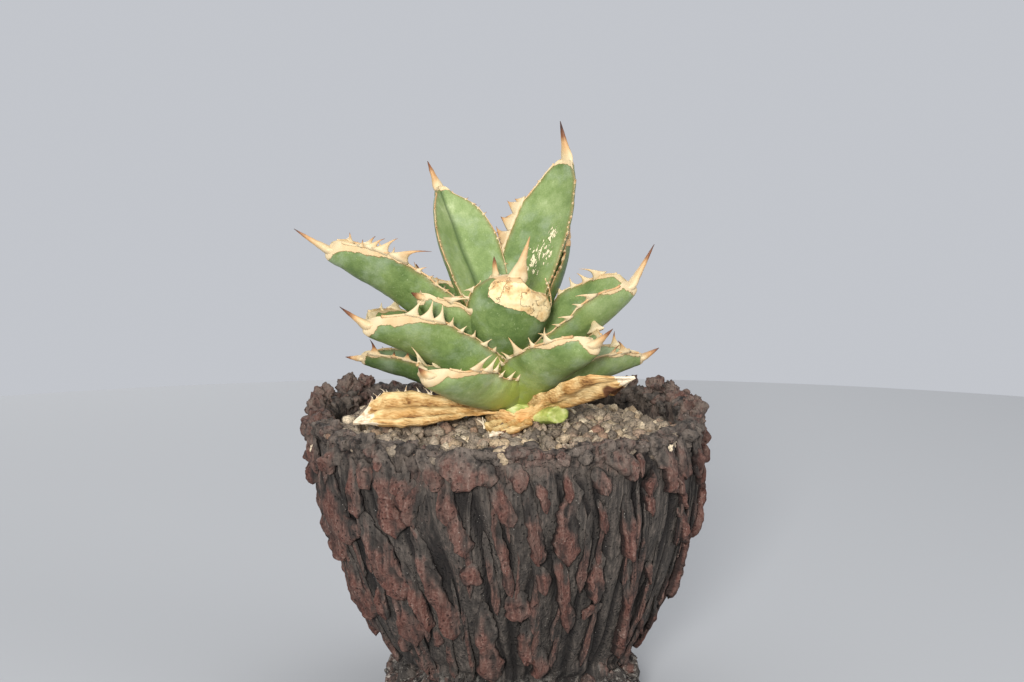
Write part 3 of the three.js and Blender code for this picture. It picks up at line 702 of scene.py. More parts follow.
def crustSlabs():
    # short grey-brown crusts that roughen the wall below the rim, all round
    draws = random.Random(9)
    rows = []
    for i in range(slab["crusts"]):
        degrees = 360 * (i + draws.random()) / slab["crusts"]
        top = draws.uniform(78, 87)
        end = degrees + draws.uniform(-6, 6)
        rows.append((degrees, top, end, top - draws.uniform(4, 12), draws.uniform(2.5, 6)))
    return rows


def addSlab(form, row, seed, mesh, redder):
    # a slab runs from a thin top end to a thick lower one, which hangs over and is undercut
    topHeading, topHeight, endHeading, endHeight, width = row
    arc = math.radians(endHeading - topHeading) * potRadius(topHeight)
    length = math.hypot(arc, topHeight - endHeight)
    square = ((topHeight - endHeight) / length, arc / length)

    def place(t, angle):
        q = 0.5 - 0.5 * math.cos(math.pi * t)
        z = mix(topHeight, endHeight, q)
        out = heading(mix(topHeading, endHeading, q))
        ending = max(0.0, (q - slab["endFrom"]) / (1 - slab["endFrom"]))
        tip = (1 - ending ** 2) ** 0.4 * math.sqrt(min(1.0, q / 0.15 + 0.02)) if ending < 1 else 0.0
        half = width * slab["broader"] * alongStops(slab["widths"], q) * tip
        wander = 0.3 * width * rough((q * length, seed, 0), 8)
        side, lift = (0, 0) if angle is None else (math.cos(angle), math.sin(angle))
        where = Vector((q * length, side * width * 0.5, seed * 3))
        long = (where.x * 0.35, where.y, where.z)
        lumps = 0.6 * rough(long, 2.6) + 0.4 * rough(where, 2.0)
        streaks = 0.6 * rough((where.x * 0.15, where.y, where.z), 0.9) + 0.25 * rough(where, 0.75)
        onEdge = (q * length, math.copysign(3, side), seed)
        ragged = 1 + (0.5 * rough(onEdge, 5) + 0.35 * rough(onEdge, 1.6)) * abs(side)
        reach = mix(*slab["proud"], smooth(0, 0.75, q)) * (1 - 0.4 * ending ** 3)
        reach *= mix(1.15, 0.5, (side + 1) / 2) * (1 + 0.5 * lumps) * min(1.0, width / slab["proudWidth"])
        plateau = min(1.0, 1.5 * max(0.0, lift)) ** 0.8
        undercut = smooth(0.1, 0.8, q) * smooth(0.5, -0.7, side) * (lift >= 0)
        stand = plateau * (reach + 0.45 * lumps + streaks) - slab["sunk"] * max(0.0, -lift)
        stand = max(stand, undercut)
        droop = 1 + 1.2 * rough((side * width * 0.5, seed, 6), 1.8)
        hang = Vector((0, 0, -slab["overhang"] * droop * max(0.0, lift) * smooth(0.7, 1, q)))
        shift = side * half * ragged + wander
        tangent = Vector((-out.y, out.x, 0)) * shift * square[0]
        onWall = out * (potRadius(z) - 0.4 + stand)
        point = onWall + tangent + Vector((0, 0, z + shift * square[1])) + hang
        blush = mix(0.1, 0.85, smooth(0.0, 0.7, q)) - 0.4 * smooth(-0.2, 1, side) + 0.7 * lumps + redder
        # painted shade: the slab's edges and underside are marked to be painted near-black, as if in shadow
        groove = -0.9 if lift < 0.15 else lumps * 0.7 + streaks
        return leaned(point), {"blush": blush, "groove": groove, "height": z}

    form.skin(*mesh, place)


def makeSlabs(name, rows, clay, mesh, redder):
    form = Form(name, "blush", "groove", "height")
    for i, row in enumerate(rows):
        addSlab(form, row, i * 3.7, mesh, redder)
    form.finish(clay, "stoneware")


makeSlabs("potSlabsFront", frontSlabs, slabClay, slab["mesh"], 0.0)
makeSlabs("potSlabsBack", backSlabs() + smallSlabs(), slabClay, slab["mesh"], 0.0)
makeSlabs("potCrusts", crustSlabs(), slabClay, slab["mesh"], 0.0)
makeSlabs("potRidges", ridges(), combedClay, slab["ridgeMesh"], slab["ridgeBlush"])
print("pot slabs made")

crumbs = {
    "rim": 230,
    "rimSize": (1.1, 3.6),
    "big": 2.0,  # those above this radius are finer meshes
    "foot": 130,
    "footSize": (1.3, 3.6),
    "roughness": 0.7,
    # heading, height and radius of the pale chips in the clay, and of the nubs on the rim
    "chips": [(243, 71, 1.6), (197, 80, 1.2), (322, 84, 1.0), (120, 60, 1.2)],
    "nubs": [(176, 90, 4.2), (168, 92.5, 3.2), (150, 92.5, 3.6), (150, 87, 4.2), (142, 92, 3.4),
             (158, 88, 4), (34, 91.5, 3.4), (20, 90, 3.8), (27, 92, 2.6), (10, 89, 3.4), (2, 89.5, 4.0),
             (46, 91, 3), (60, 91, 3.4), (354, 87.5, 3.6), (186, 88, 4.4), (194, 86.5, 4)],
}


def makeCrumbs():
    draws = random.Random(5)
    form = Form("potCrumbs", "blush", "groove", "height")
    for i in range(crumbs["rim"]):
        degrees = 360 * (i + draws.random()) / crumbs["rim"]
        size = mix(*crumbs["rimSize"], draws.random() ** 1.6)
        radius = pot["rimRadius"] - draws.uniform(0, 5)
        z = pot["height"] + rimRise(degrees) - size * draws.uniform(0.2, 1.1)
        middle = heading(degrees) * (radius - size * 0.3) + Vector((0, 0, z))
        marks = {"blush": draws.uniform(-0.1, 0.6), "groove": 0.0, "height": z}
        detail = 3 if size > crumbs["big"] else 1
        form.lump(leaned(middle), size, detail, i * 1.3, (1, 1, 0.85), crumbs["roughness"], marks)
    for i, (degrees, z, size) in enumerate(crumbs["nubs"]):
        middle = heading(degrees) * (pot["rimRadius"] - size / 3 - 0.6) + Vector((0, 0, z - size * 0.3))
        marks = {"blush": 0.6, "groove": 0.0, "height": z}
        form.lump(leaned(middle), size, 4, i * 5.1, (1, 1, 1.05), 0.6, marks)
    for i in range(crumbs["foot"]):
        degrees = 360 * (i + draws.random()) / crumbs["foot"]
        size = mix(*crumbs["footSize"], draws.random() ** 1.5)
        z = max(size * 1.3, draws.uniform(2, 17))
        middle = heading(degrees) * (potRadius(z) - size * 0.35) + Vector((0, 0, z))
        marks = {"blush": draws.uniform(-0.5, 0.7), "groove": 0.0, "height": z}
        detail = 2 if size > crumbs["big"] else 1
        form.lump(leaned(middle), size, detail, i * 2.3, (1, 1, 0.9), 0.6, marks)
    form.finish(slabClay, "stoneware")
    form = Form("potChips", "kind")
    for i, (degrees, z, size) in enumerate(crumbs["chips"]):
        middle = heading(degrees) * (potRadius(z) + 0.6) + Vector((0, 0, z))
        form.lump(leaned(middle), size, 3, i * 3.3, (0.7, 0.7, 1.2), 0.5, {"kind": 0.98})
    form.finish(grit, "grit")


makeCrumbs()
print("pot crumbs made")

bed = {
    "columns": 180,
    "rings": 46,
    "floorEnds": 0.08,  # shares of the way across the floor, up the wall and back over the top
    "wallEnds": 0.3,
    "wallGap": 1.0,
    "grains": 1700,
    "heaped": 280,
    "heapedBetween": (195, 345),  # at the front of the rim
    "size": (0.9, 2.6),
    "roughness": 0.7,
    "big": 1.8,  # heaped grains above this radius are finer meshes
    "stemGap": 8,
    "greyShare": 0.74,
    "greys": (0.0, 0.62),  # kinds, as in the colours of the grit
    "others": (0.66, 1.0),
}
camera = {"place": (1.8, -591.8, 187), "pitch": 7.44, "focal": 2000, "middle": (512, 341), "film": 36}
# single pale grains that show in the photograph: its pixel, their radius and kind
singleGrains = [
    ((572, 419), 2.6, 1.0), ((563, 424), 1.9, 0.97), ((578, 413), 1.6, 1.0), ((592, 412), 2.1, 0.95),
    ((600, 422), 1.8, 0.86), ((345, 409), 3.0, 0.82), ((500, 449), 2.8, 0.8), ((505, 459), 3.0, 0.84),
    ((484, 447), 2.2, 0.6), ((613, 410), 1.7, 0.9), ((535, 432), 2.6, 0.62), ((520, 428), 2.2, 0.55),
]


def soilHeight(x, y):
    fromStem = math.hypot(x - stem["ground"].x, y - stem["ground"].y) / pot["rimRadius"]
    towards = max(0.0, math.cos(math.atan2(y, x) - math.radians(soil["hollowHeading"])))
    hollow = towards * (math.hypot(x, y) / pot["rimRadius"]) ** 2
    return soil["level"] + soil["crown"] * (1 - fromStem) - soil["hollow"] * hollow


def onSoil(pixel):
    # where the ray through a pixel of the photograph meets the grit
    pitch = math.radians(camera["pitch"])
    right = (pixel[0] - camera["middle"][0]) / camera["focal"]
    down = (pixel[1] - camera["middle"][1]) / camera["focal"]
    level, sunk = math.cos(pitch), math.sin(pitch)
    ray = Vector((right, level - down * sunk, -sunk - down * level))
    start = Vector(camera["place"])
    return start + ray * ((soil["level"] + 0.5 - start.z) / ray.z)


def makeGritBed():
    form = Form("gritBed", "kind")
    reach = potInside(soil["level"]) - bed["wallGap"]

    def place(t, angle):
        # across the pot's floor, up its wall and back over the top
        out = Vector((0, 0, 0)) if angle is None else Vector((math.cos(angle), math.sin(angle), 0))
        floorEnds, wallEnds = bed["floorEnds"], bed["wallEnds"]
        if t < floorEnds:
            point = out * (potInside(0) - 2) * (t / floorEnds) + Vector((0, 0, pot["floor"] + 0.4))
        elif t < wallEnds:
            z = mix(pot["floor"] + 0.4, soil["level"] - 2, (t - floorEnds) / (wallEnds - floorEnds))
            point = out * (potInside(z) - 1.6) + Vector((0, 0, z))
        else:
            point = out * reach * (1 - t) / (1 - wallEnds)
            point.z = soilHeight(point.x, point.y) - 1.2 + 1.3 * rough(point, 4)
        return leaned(point), {"kind": 0.12 + 0.1 * rough(point, 5)}

    form.skin(bed["columns"], bed["rings"], place)
    form.finish(grit, "grit", "soil")


def makeGrains():
    draws = random.Random(8)
    form = Form("gritGrains", "kind")
    reach = potInside(soil["level"]) - bed["wallGap"]
    for i in range(bed["grains"]):
        size = mix(*bed["size"], draws.random() ** 1.7)
        radius = (reach + 0.5 - size) * math.sqrt((i + draws.random()) / bed["grains"])
        point = heading(i * goldenAngle) * radius
        if (point.xy - stem["ground"].xy).length < bed["stemGap"]:
            continue
        point.z = soilHeight(point.x, point.y) + draws.uniform(-0.9, 0.6) * size
        kinds = bed["greys"] if draws.random() < bed["greyShare"] else bed["others"]
        kind = mix(*kinds, draws.random())
        squash = [draws.uniform(0.75, 1.15) for _ in range(3)]
        form.lump(point, size, 1, i * 0.77, squash, bed["roughness"], {"kind": kind})
    for i in range(bed["heaped"]):
        size = mix(*bed["size"], draws.random())
        degrees = draws.uniform(*bed["heapedBetween"])
        point = heading(degrees) * (reach + draws.uniform(-3.5, 5.0))
        point.z = soil["level"] + 2.2 - size * 0.3 + rimRise(degrees) + draws.uniform(-1, 0.6)
        marks = {"kind": draws.uniform(0.1, 0.72)}
        detail = 2 if size > bed["big"] else 1
        form.lump(point, size, detail, i * 0.91, (1, 1, 0.9), bed["roughness"], marks)
    for i, (pixel, size, kind) in enumerate(singleGrains):
        middle = onSoil(pixel) + Vector((0, 0, size * 0.3))
        form.lump(middle, size, 3, i * 4.1, (1, 0.9, 0.9), 0.4, {"kind": kind})
    form.finish(grit, "grit")


makeGritBed()
makeGrains()
print("grit made")

leafKeys = ("name at headings rises roll length width thick channel endWidth "
            "spine spineHeading spineRise tooth").split()
leafRows = [
    ("left_low", 0.26, (172, 172), (22, 8), 0, 48, 19, 5.5, 4.5, 0.5, 5.4, 172, 4, 3.2),
    ("back_low", 0.26, (98, 104), (16, 8), 0, 40, 20, 6.5, 4.5, 0.5, 6, 104, 30, 4),
    ("front_left", 0.42, (240, 226), (4, 20), 0, 41, 22, 8.5, 5, 0.62, 5, 240, 35, 4.6),
    ("right_low", 0.34, (12, 14), (22, 6), 0, 41, 19, 6.5, 5, 0.5, 6.5, 14, 28, 4.2),
    ("back_right_low", 0.36, (58, 52), (20, 10), 0, 42, 20, 6.5, 4.5, 0.5, 6, 52, 34, 4),
    ("front_right", 0.42, (306, 322), (30, 20), 0, 38, 22, 9.5, 5.5, 0.62, 8.2, 322, 40, 4.4),
    ("back_left_low", 0.4, (138, 142), (22, 12), 0, 42, 20, 6.5, 4.5, 0.5, 6, 142, 34, 4),
    ("left_middle", 0.5, (202, 205), (34, 11), 0, 49, 23, 9.5, 7, 0.5, 10, 205, 36, 5.4),
    ("right_upper", 0.62, (352, 352), (33, 36), 16, 45, 21, 8.5, 7.5, 0.55, 14, 352, 62, 5),
    ("left_upper", 0.56, (189, 193), (50, 21), 0, 66, 21, 8.5, 7, 0.5, 12, 192, 33, 5.4),
    ("back_right", 0.66, (82, 74), (36, 30), 0, 45, 21, 8, 6, 0.5, 8, 74, 50, 4.6),
    ("back_left", 0.68, (152, 148), (32, 46), 0, 38, 17, 7, 5, 0.5, 5, 134, 64, 4),
    ("left_inner", 0.74, (206, 222), (36, 33), -12, 35, 17, 7.5, 5, 0.5, 5, 236, 20, 4.6),
    ("right_inner", 0.78, (34, 38), (46, 64), 0, 41, 16, 6, 4, 0.45, 6, 38, 76, 3.4),
    ("tall_right", 0.86, (50, 36), (56, 70), 12, 61.5, 20, 6.5, 2.5, 0.42, 12, 180, 79, 3.8),
    ("tall_left", 0.88, (142, 136), (56, 67), -6, 52, 23, 6.5, 6.5, 0.3, 9, 160, 66, 2.6),
    ("centre_front", 0.86, (278, 293), (24, 74), 0, 31, 26, 9.5, 3.5, 0.8, 12.5, 340, 72, 2.6),
    ("bud", 1, (150, 150), (88, 88), 0, 17, 9, 8, 0.5, 0.4, 6, 150, 84, 1.8),
]
leafDefaults = {
    "vee": 2.0,  # how round the channel is
    "baseWidth": 0.66,  # against the full width
    "slant": 0.0,
    # how strong the painted shade along the channel's crease is
    "crease": 0.0,
    "young": 0.0,  # how much further out its yellow base reaches
    "rim": 0.3,  # how brown the margin is
    "margins": (1, 1),  # how strong its horn is on either side
    "plate": 0.0,  # how far its teeth are broad plates
    "wave": 0.7,  # how far the margin rises and falls
    "tone": 0.0,
    "cap": 3.0,  # how far the horn runs back from the tip, in the middle
    "band": 1.6,  # how broad it is along the margin near the tip
    "bandFrom": 0.55,
    "ripe": 0.8,  # how brown the teeth are
    "spineRipe": 0.95,
    "teeth": [],
    "scars": [],  # place along the blade, place across it, size
    "small": 1.0,  # how large the small teeth are
    "cork": False,
}
# What sets each leaf apart. Teeth are (side, share of the blade, length, hook, rise).
leafLooks = {
    "left_upper": {"tone": -0.1, "band": 2.6, "bandFrom": 0.8, "cap": 2.0,
                   "teeth": [(1, 0.765, 7.2, -1.3, 1.6), (1, 0.845, 6.0, -0.5, 2.2),
                             (1, 0.89, 4.8, -0.6, 1.8), (1, 0.93, 2.6, 0.3, 1.4), (1, 0.66, 2.8, -0.6, 1.2),
                             (1, 0.56, 2.4, 0.4, 1.2), (1, 0.45, 2.8, -0.6, 1.2),
                             (-1, 0.86, 3.8, -0.4, 1.8), (-1, 0.74, 3.0, 0.2, 1.6)]},
    "left_middle": {"spineRipe": 1.15, "band": 3.2, "bandFrom": 0.72, "cap": 3.2, "wave": 0.8, "ripe": 0.3,
                    "teeth": [(1, 0.86, 5.2, -0.3, 3.2), (1, 0.775, 5.8, 0.15, 3.2),
                              (1, 0.70, 5.0, 0.35, 3.2), (1, 0.62, 2.8, 0.3, 1.6),
                              (1, 0.54, 2.6, -0.3, 1.6), (1, 0.45, 2.4, 0.4, 1.6),
                              (1, 0.36, 2.8, -0.4, 1.6), (1, 0.28, 2.6, 0.4, 1.4),
                              (-1, 0.8, 5.6, -0.3, 1.6), (-1, 0.66, 5, 0.3, 1.6)]},
    "left_low": {"tone": -0.6, "ripe": 1.3, "band": 1.0, "cap": 1.5,
                 "teeth": [(1, 0.95, 5.0, 0.5, 2.0), (1, 0.82, 2.4, 0, 1.4), (1, 0.73, 3.6, 0, 1.8),
                           (1, 0.4, 2.4, 0, 1.4), (-1, 0.8, 3, 0.3, 1.4)]},
    "left_inner": {"band": 1.2, "cap": 1.0, "ripe": 0.3, "small": 1.3,
                   "teeth": [(1, 0.93, 5, -1.0, 1.2), (-1, 0.9, 4.4, 1.0, 0.9), (1, 0.72, 4.4, -0.6, 1.4),
                             (1, 0.55, 3.4, -0.4, 1.2), (1, 0.4, 3, 0.3, 1.2), (-1, 0.6, 3.6, 0, 1.2)]},
    "front_left": {"tone": 0.6, "young": 0.22, "band": 2.4, "bandFrom": 0.7, "cap": 3.6, "ripe": 0.3,
                   "wave": 1.4, "rim": 0.36,
                   "teeth": [(-1, 0.84, 5.2, 0.9, 1.8), (-1, 0.62, 5.0, 1.3, 1.5),
                             (1, 0.84, 5.6, -0.7, 2.4), (1, 0.74, 4.8, -0.2, 2.4), (1, 0.66, 3.2, 0.3, 1.8),
                             (1, 0.57, 2.4, 0, 1.4), (1, 0.46, 2.8, -0.3, 1.6), (1, 0.34, 2.4, 0.3, 1.4),
                             (-1, 0.45, 3.4, 0, 1.4)]},
    "front_right": {"young": 0.12, "band": 2.2, "bandFrom": 0.62, "cap": 1.6, "ripe": 0.55, "wave": 1.3,
                    "teeth": [(-1, 0.57, 5.4, -0.1, 3), (-1, 0.72, 3.0, 0.2, 2.2),
                              (-1, 0.85, 4.4, 0.7, 2.0), (-1, 0.44, 2.8, -0.5, 1.8),
                              (-1, 0.33, 2.6, 0.4, 1.6), (1, 0.9, 7, -0.9, 1.8), (1, 0.6, 4.4, 0.2, 1.5)]},
    "right_low": {"tone": 0.45, "ripe": 1.0, "band": 1.2, "cap": 1.4,
                  "teeth": [(-1, 0.87, 5.0, -0.5, 1.6), (-1, 0.78, 3.4, 0.9, 1.4), (-1, 0.6, 2.6, 0, 1.2),
                            (1, 0.92, 4.6, 0.3, 2.0), (1, 0.76, 3, -0.4, 1.4), (1, 0.6, 3.4, 0.5, 1.6)]},
    "right_upper": {"tone": 0.3, "band": 1.6, "bandFrom": 0.8, "cap": 2.0, "ripe": 0.5, "wave": 1.6,
                    "small": 1.1,
                    "teeth": [(-1, 0.82, 4.6, -0.9, 1.5), (-1, 0.72, 2.8, -0.5, 1.4),
                              (-1, 0.61, 3.4, -0.8, 1.3), (-1, 0.52, 2.4, -0.5, 1.2),
                              (-1, 0.4, 2.6, -0.4, 1.4), (1, 0.89, 5.2, -1.0, 1.8),
                              (1, 0.79, 3.8, -0.4, 1.8), (1, 0.69, 3.2, 0.2, 1.6), (1, 0.59, 3.0, 0.1, 1.4),
                              (1, 0.49, 2.6, 0.2, 1.4)]},
    "tall_right": {"tone": 0.15, "spineRipe": 1.2, "band": 1.4, "bandFrom": 0.9, "cap": 1.4, "ripe": 0.75,
                   "margins": (0.1, 0.8), "small": 0.6, "plate": 1.0,
                   "teeth": [(1, 0.735, 5.0, 0.5, 0.1), (1, 0.775, 3.0, 0.2, 0.2), (1, 0.65, 5.2, 0.4, 0.1),
                             (1, 0.69, 3.4, -0.3, 0.1), (1, 0.56, 5.0, 0.9, 0.2), (1, 0.52, 3.4, -0.4, 0.1),
                             (1, 0.455, 5.4, 0.6, 0.2), (1, 0.36, 3.2, 0.4, 0.5)],
                   "scars": [(28, -1.0, 6.5), (31, -3.8, 5.5), (38, -4, 4.5)]},
    "tall_left": {"tone": 0.4, "vee": 1.0, "band": 0.3, "cap": 0.8, "ripe": 0.9, "wave": 0.35, "small": 0.6,
                  "crease": 1.0, "rim": 0.35, "margins": (0.6, 0.6)},
    "centre_front": {"tone": -0.35, "spineRipe": 0.5, "band": 0.5, "cap": 0.5, "ripe": -0.1, "wave": 0.4,
                     "small": 0.6, "cork": True, "slant": 5.5, "margins": (0.6, 0.6),
                     "teeth": [(-1, 0.9, 2.8, -0.6, 0.8), (-1, 0.78, 2.4, 0.6, 0.8)]},
    "bud": {"tone": 0.5, "band": 0.8, "wave": 0.1, "small": 0.4},
    "back_left": {"tone": -0.5, "ripe": 1.0},
    "right_inner": {"tone": -0.7, "margins": (0.3, 0.3), "rim": 0.6},
    "back_right": {"tone": -0.1},
}
leaves = []
for row in leafRows:
    leaf = dict(zip(leafKeys, row))
    leaves.append({**leafDefaults, **leaf, **leafLooks.get(leaf["name"], {})})

blade = {
    "baseChannel": 0.6,
    "widest": 0.6,  # share of its length
    "tipCurve": 2.6,
    "tipThick": 0.5,
    "upperShare": 0.2,  # of its thickness, above the middle
    "capLength": 2.4,
    "bandWidth": 0.55,
    "bandRagged": (0.9, 3.5),
    "bandAtTeeth": 0.7,
    "dents": [(0.3, 7), (0.1, 2.2)],  # depth and size
    # where the cork of the centre leaf begins, from its left side to its right one
    "corkLine": [(-1, 1.1), (-0.9, 0.95), (-0.75, 0.84), (-0.4, 0.79), (0, 0.76), (0.4, 0.71),
                 (0.75, 0.57), (1, 0.62)],
    "corkReach": 0.42,  # how dark its horny rim is
    "corkFlakes": [(1.8, 5), (0.12, 1.0)],
    "sides": 44,
    "rings": 96,
}
smallTeeth = {
    "between": (0.2, 0.97),  # shares of the blade
    "keptClear": 0.55,  # of a larger tooth's length, and a millimetre
    "size": (0.55, 1.05),
    "beside": (0.3, 0.65),  # smaller where the large ones are set by the photograph
    "hook": (-0.9, 0.9),
    "rise": (0.6, 1.4),
    "step": (0.7, 1.4),
    "gap": (0.2, 1.0),
}
margin = {
    "perTooth": 0.17,  # how far it swells out at a tooth, against the tooth's length
    "swellMost": 1.5,
    "wander": 0.35,
    "wanderSizes": (6, 5.5),  # out and up
    "fade": 12,
}


def direction(rise, degrees):
    level = math.cos(math.radians(rise))
    return heading(degrees) * level + Vector((0, 0, math.sin(math.radians(rise))))


def midrib(leaf):
    # frames along the midrib and the spine: place, across, up and along at the distance s
    step = 0.5
    place = stem["ground"].lerp(stem["top"], leaf["at"])
    spineWay = direction(leaf["spineRise"], leaf["spineHeading"])
    frames = []
    for i in range(int((leaf["length"] + leaf["spine"]) / step) + 3):
        share = min(1.0, i * step / leaf["length"])
        degrees = mix(*leaf["headings"], share)
        along = direction(mix(*leaf["rises"], share), degrees)
        bend = smooth(leaf["length"] - 1.5, leaf["length"] + 1.5, i * step)
        along = along.lerp(spineWay, bend).normalized()
        across = heading(degrees + 90)
        turn = math.radians(leaf["roll"])
        across = across * math.cos(turn) + along.cross(across) * math.sin(turn)
        up = along.cross(across).normalized()
        frames.append((place.copy(), across, up, along))
        place = place + along * step

    def rib(s):
        i = int(clamp(s / step, 0, len(frames) - 2))
        share = clamp(s / step - i)
        return [a.lerp(b, share) for a, b in zip(frames[i], frames[i + 1])]

    return rib


def bladeLength(leaf):
    return leaf["length"] - blade["capLength"]


def halfWidth(leaf, s):
    share = s / bladeLength(leaf)
    if share < blade["widest"]:
        swell = math.sin(math.pi / 2 * share / blade["widest"])
        return leaf["width"] / 2 * mix(leaf["baseWidth"], 1, swell)
    past = min(1.0, (share - blade["widest"]) / (1 - blade["widest"]))
    return leaf["width"] / 2 * mix(1, leaf["endWidth"], past ** blade["tipCurve"])


def channelDepth(leaf, s):
    deepening = mix(blade["baseChannel"], 1, min(1.0, s / leaf["length"]))
    return leaf["channel"] * deepening * halfWidth(leaf, s) / (leaf["width"] / 2)


def thickness(leaf, s):
    return leaf["thick"] * mix(1, blade["tipThick"], min(1.0, s / bladeLength(leaf)) ** 2)


def settleTeeth(leaf, seed):
    # the teeth that the photograph shows, and smaller ones by rule between them
    draws = random.Random(seed)
    length = bladeLength(leaf)
    teeth = [(side, share * length, size, hook, rise) for side, share, size, hook, rise in leaf["teeth"]]
    known = {tooth[0] for tooth in teeth}
    for side in (-1, 1):
        s, last = (length * share for share in smallTeeth["between"])
        while s < last:
            clear = [smallTeeth["keptClear"] * other[2] + 1 < abs(s - other[1]) for other in teeth
                     if other[0] == side]
            size = leaf["tooth"] * leaf["small"] * draws.uniform(*smallTeeth["size"])
            if side in known or draws.random() < 0.5:
                size *= draws.uniform(*smallTeeth["beside"])
            if all(clear):
                hook = draws.uniform(*smallTeeth["hook"])
                rise = draws.uniform(*smallTeeth["rise"])
                teeth.append((side, s, size * mix(0.6, 1, s / length), hook, rise))
            s += size * draws.uniform(*smallTeeth["step"]) + draws.uniform(*smallTeeth["gap"])
    return teeth


def marginShift(leaf, teeth, side, s, seed):
    # how far the margin swells out at its teeth and wanders between them
    swell = 0.0
    for _, where, size, _, _ in (tooth for tooth in teeth if tooth[0] == side):
        swell += margin["perTooth"] * size * math.exp(-((s - where) / (0.5 * size + 0.6)) ** 2)
    swell = min(margin["swellMost"], swell)
    fade = smooth(0, margin["fade"], s)
    outSize, upSize = margin["wanderSizes"]
    out = fade * (swell - margin["wander"] + margin["wander"] * rough((s, side * 9, seed), outSize))
    rise = fade * (leaf["wave"] * rough((s, side * 7, seed + 4), upSize) + margin["wander"] * swell)
    return out, rise


def marginPoint(leaf, rib, teeth, side, s, seed):
    place, across, up, along = rib(s)
    out, rise = marginShift(leaf, teeth, side, s, seed)
    point = place + across * side * (halfWidth(leaf, s) + out) + up * (channelDepth(leaf, s) + rise)
    return point, across * side, up, along


def makeBlade(leaf, rib, teeth, seed):
    markNames = "along edge tone scar cork horn reach crease young".split()
    form = Form(f"blade_{leaf['name']}", *markNames)
    length = bladeLength(leaf)
    end = leaf["length"] + 0.6
    shifts = {}

    def shiftAt(side, s):
        key = (side, round(s, 3))
        if key not in shifts:
            shifts[key] = marginShift(leaf, teeth, side, s, seed)
        return shifts[key]

    def place(t, angle):
        s = mix(0, end, t ** 0.85)
        closing = math.sqrt(max(0.0, 1 - max(0.0, (s - length + 1.2) / (end - length + 1.2)) ** 2))
        centre, across, up, along = rib(s)
        u, lift = (0.0, 0.0) if angle is None else (math.cos(angle), math.sin(angle))
        side = 1 if u > 0 else -1
        out, rise = shiftAt(side, s)
        slant = leaf["slant"] * smooth(0, 1, u) * (s / leaf["length"]) ** 3  # one shoulder hangs lower
        centre = centre - along * slant
        half = (halfWidth(leaf, s) + out * abs(u) ** 3) * closing
        channel = channelDepth(leaf, s) * abs(u) ** leaf["vee"] * mix(0.5, 1, closing)
        share = blade["upperShare"] if lift > 0 else 1 - blade["upperShare"]
        body = lift * share * thickness(leaf, s) * mix(0.35, 1, closing)
        (deep, broad), (shallow, narrow) = blade["dents"]
        dents = deep * rough((s, u * 8, seed + 9), broad) + shallow * rough((s, u * 8, seed), narrow)
        height = channel + body + rise * abs(u) ** 3 + dents * (lift or 0.3)
        point = centre + across * half * u + up * height
        edge = math.hypot(half * (1 - abs(u)), body)
        strength = leaf["margins"][side > 0]
        ragged, raggedSize = blade["bandRagged"]
        bandWidth = 0.1 + blade["bandWidth"] * leaf["band"] * smooth(leaf["bandFrom"], 0.95, s / length)
        bandWidth *= strength * (1 + ragged * rough((s, side * 4, seed + 2), raggedSize))
        bandWidth -= 0.8 * max(0.0, 1 - strength)
        bandWidth += blade["bandAtTeeth"] * max(0.0, out) * smooth(0.15, 0.4, s / length)
        band = smooth(-0.9, 0.9, bandWidth - edge)
        reach = leaf["cap"] * (mix(1, 0.2, clamp(abs(body) / 4)) if lift < 0 else 1 + abs(u) ** 3)
        tip = smooth(-1.4, 1.4, s - (leaf["length"] - reach))
        scar = 0.0
        for where, across0, size in leaf["scars"]:
            gap = math.hypot((s - where) * 0.6, half * u - across0)
            scar = max(scar, (1 - gap / size) * 0.9) if lift > 0 else scar
        # painted shade along the channel's crease, on the upper face only
        crease = leaf["crease"] * math.exp(-(half * u / 0.5) ** 2) * smooth(0.05, 0.3, t) * (lift > 0)
        cork = 0.0
        if leaf["cork"]:
            line = alongStops(blade["corkLine"], u) + 0.04 * rough((u * 5, 0, 3), 1)
            cork = smooth(-0.06, 0.06, s / leaf["length"] - line)
        marks = {"along": s / leaf["length"], "edge": edge, "tone": leaf["tone"], "scar": scar,
                 "cork": cork, "horn": max(band, tip), "reach": leaf["rim"] - 0.18 * tip,
                 "crease": crease, "young": leaf["young"] * (lift < 0.3)}
        if cork:
            marks["reach"] = blade["corkReach"]
            (deep, broad), (shallow, narrow) = blade["corkFlakes"]
            flakes = deep * abs(rough((s, u * 12, 2), broad)) + shallow * rough((s, u * 16, 5), narrow)
            point -= up * cork * (0.25 + flakes) * (1 if lift < 0 else -0.5)
        return point, marks

    form.skin(blade["sides"], blade["rings"], place)
    slot = "young_leaf" if leaf["name"] == "bud" else "leaf_flesh"
    form.finish(leafSkin, slot, f"leaf_{leaf['name']}")


hornForm = {
    "railRadius": 0.25,  # the thin horny cord along a margin
    "railFrom": 0.14,  # share of the blade
    "railMesh": (8, 110),  # sides and rings
    "toothGrowth": 1.2,  # against the lengths given for the leaves
    "toothRoot": (0.34, 4),  # how broad its foot is and how fast it narrows
    "plateRoot": (0.16, -2.4),  # what a plate adds to that
    "toothHook": 0.62,
    "bigTooth": 3.2,  # longer ones are finer meshes
    "bigToothMesh": (8, 9),
    "smallToothMesh": (6, 5),
    "spineStart": 1.6,  # before the blade's end
    "neck": 2.2,
    "corkNeck": 2.5,
    "corkEdge": 6.2,
    "spineMesh": (14, 40),
}


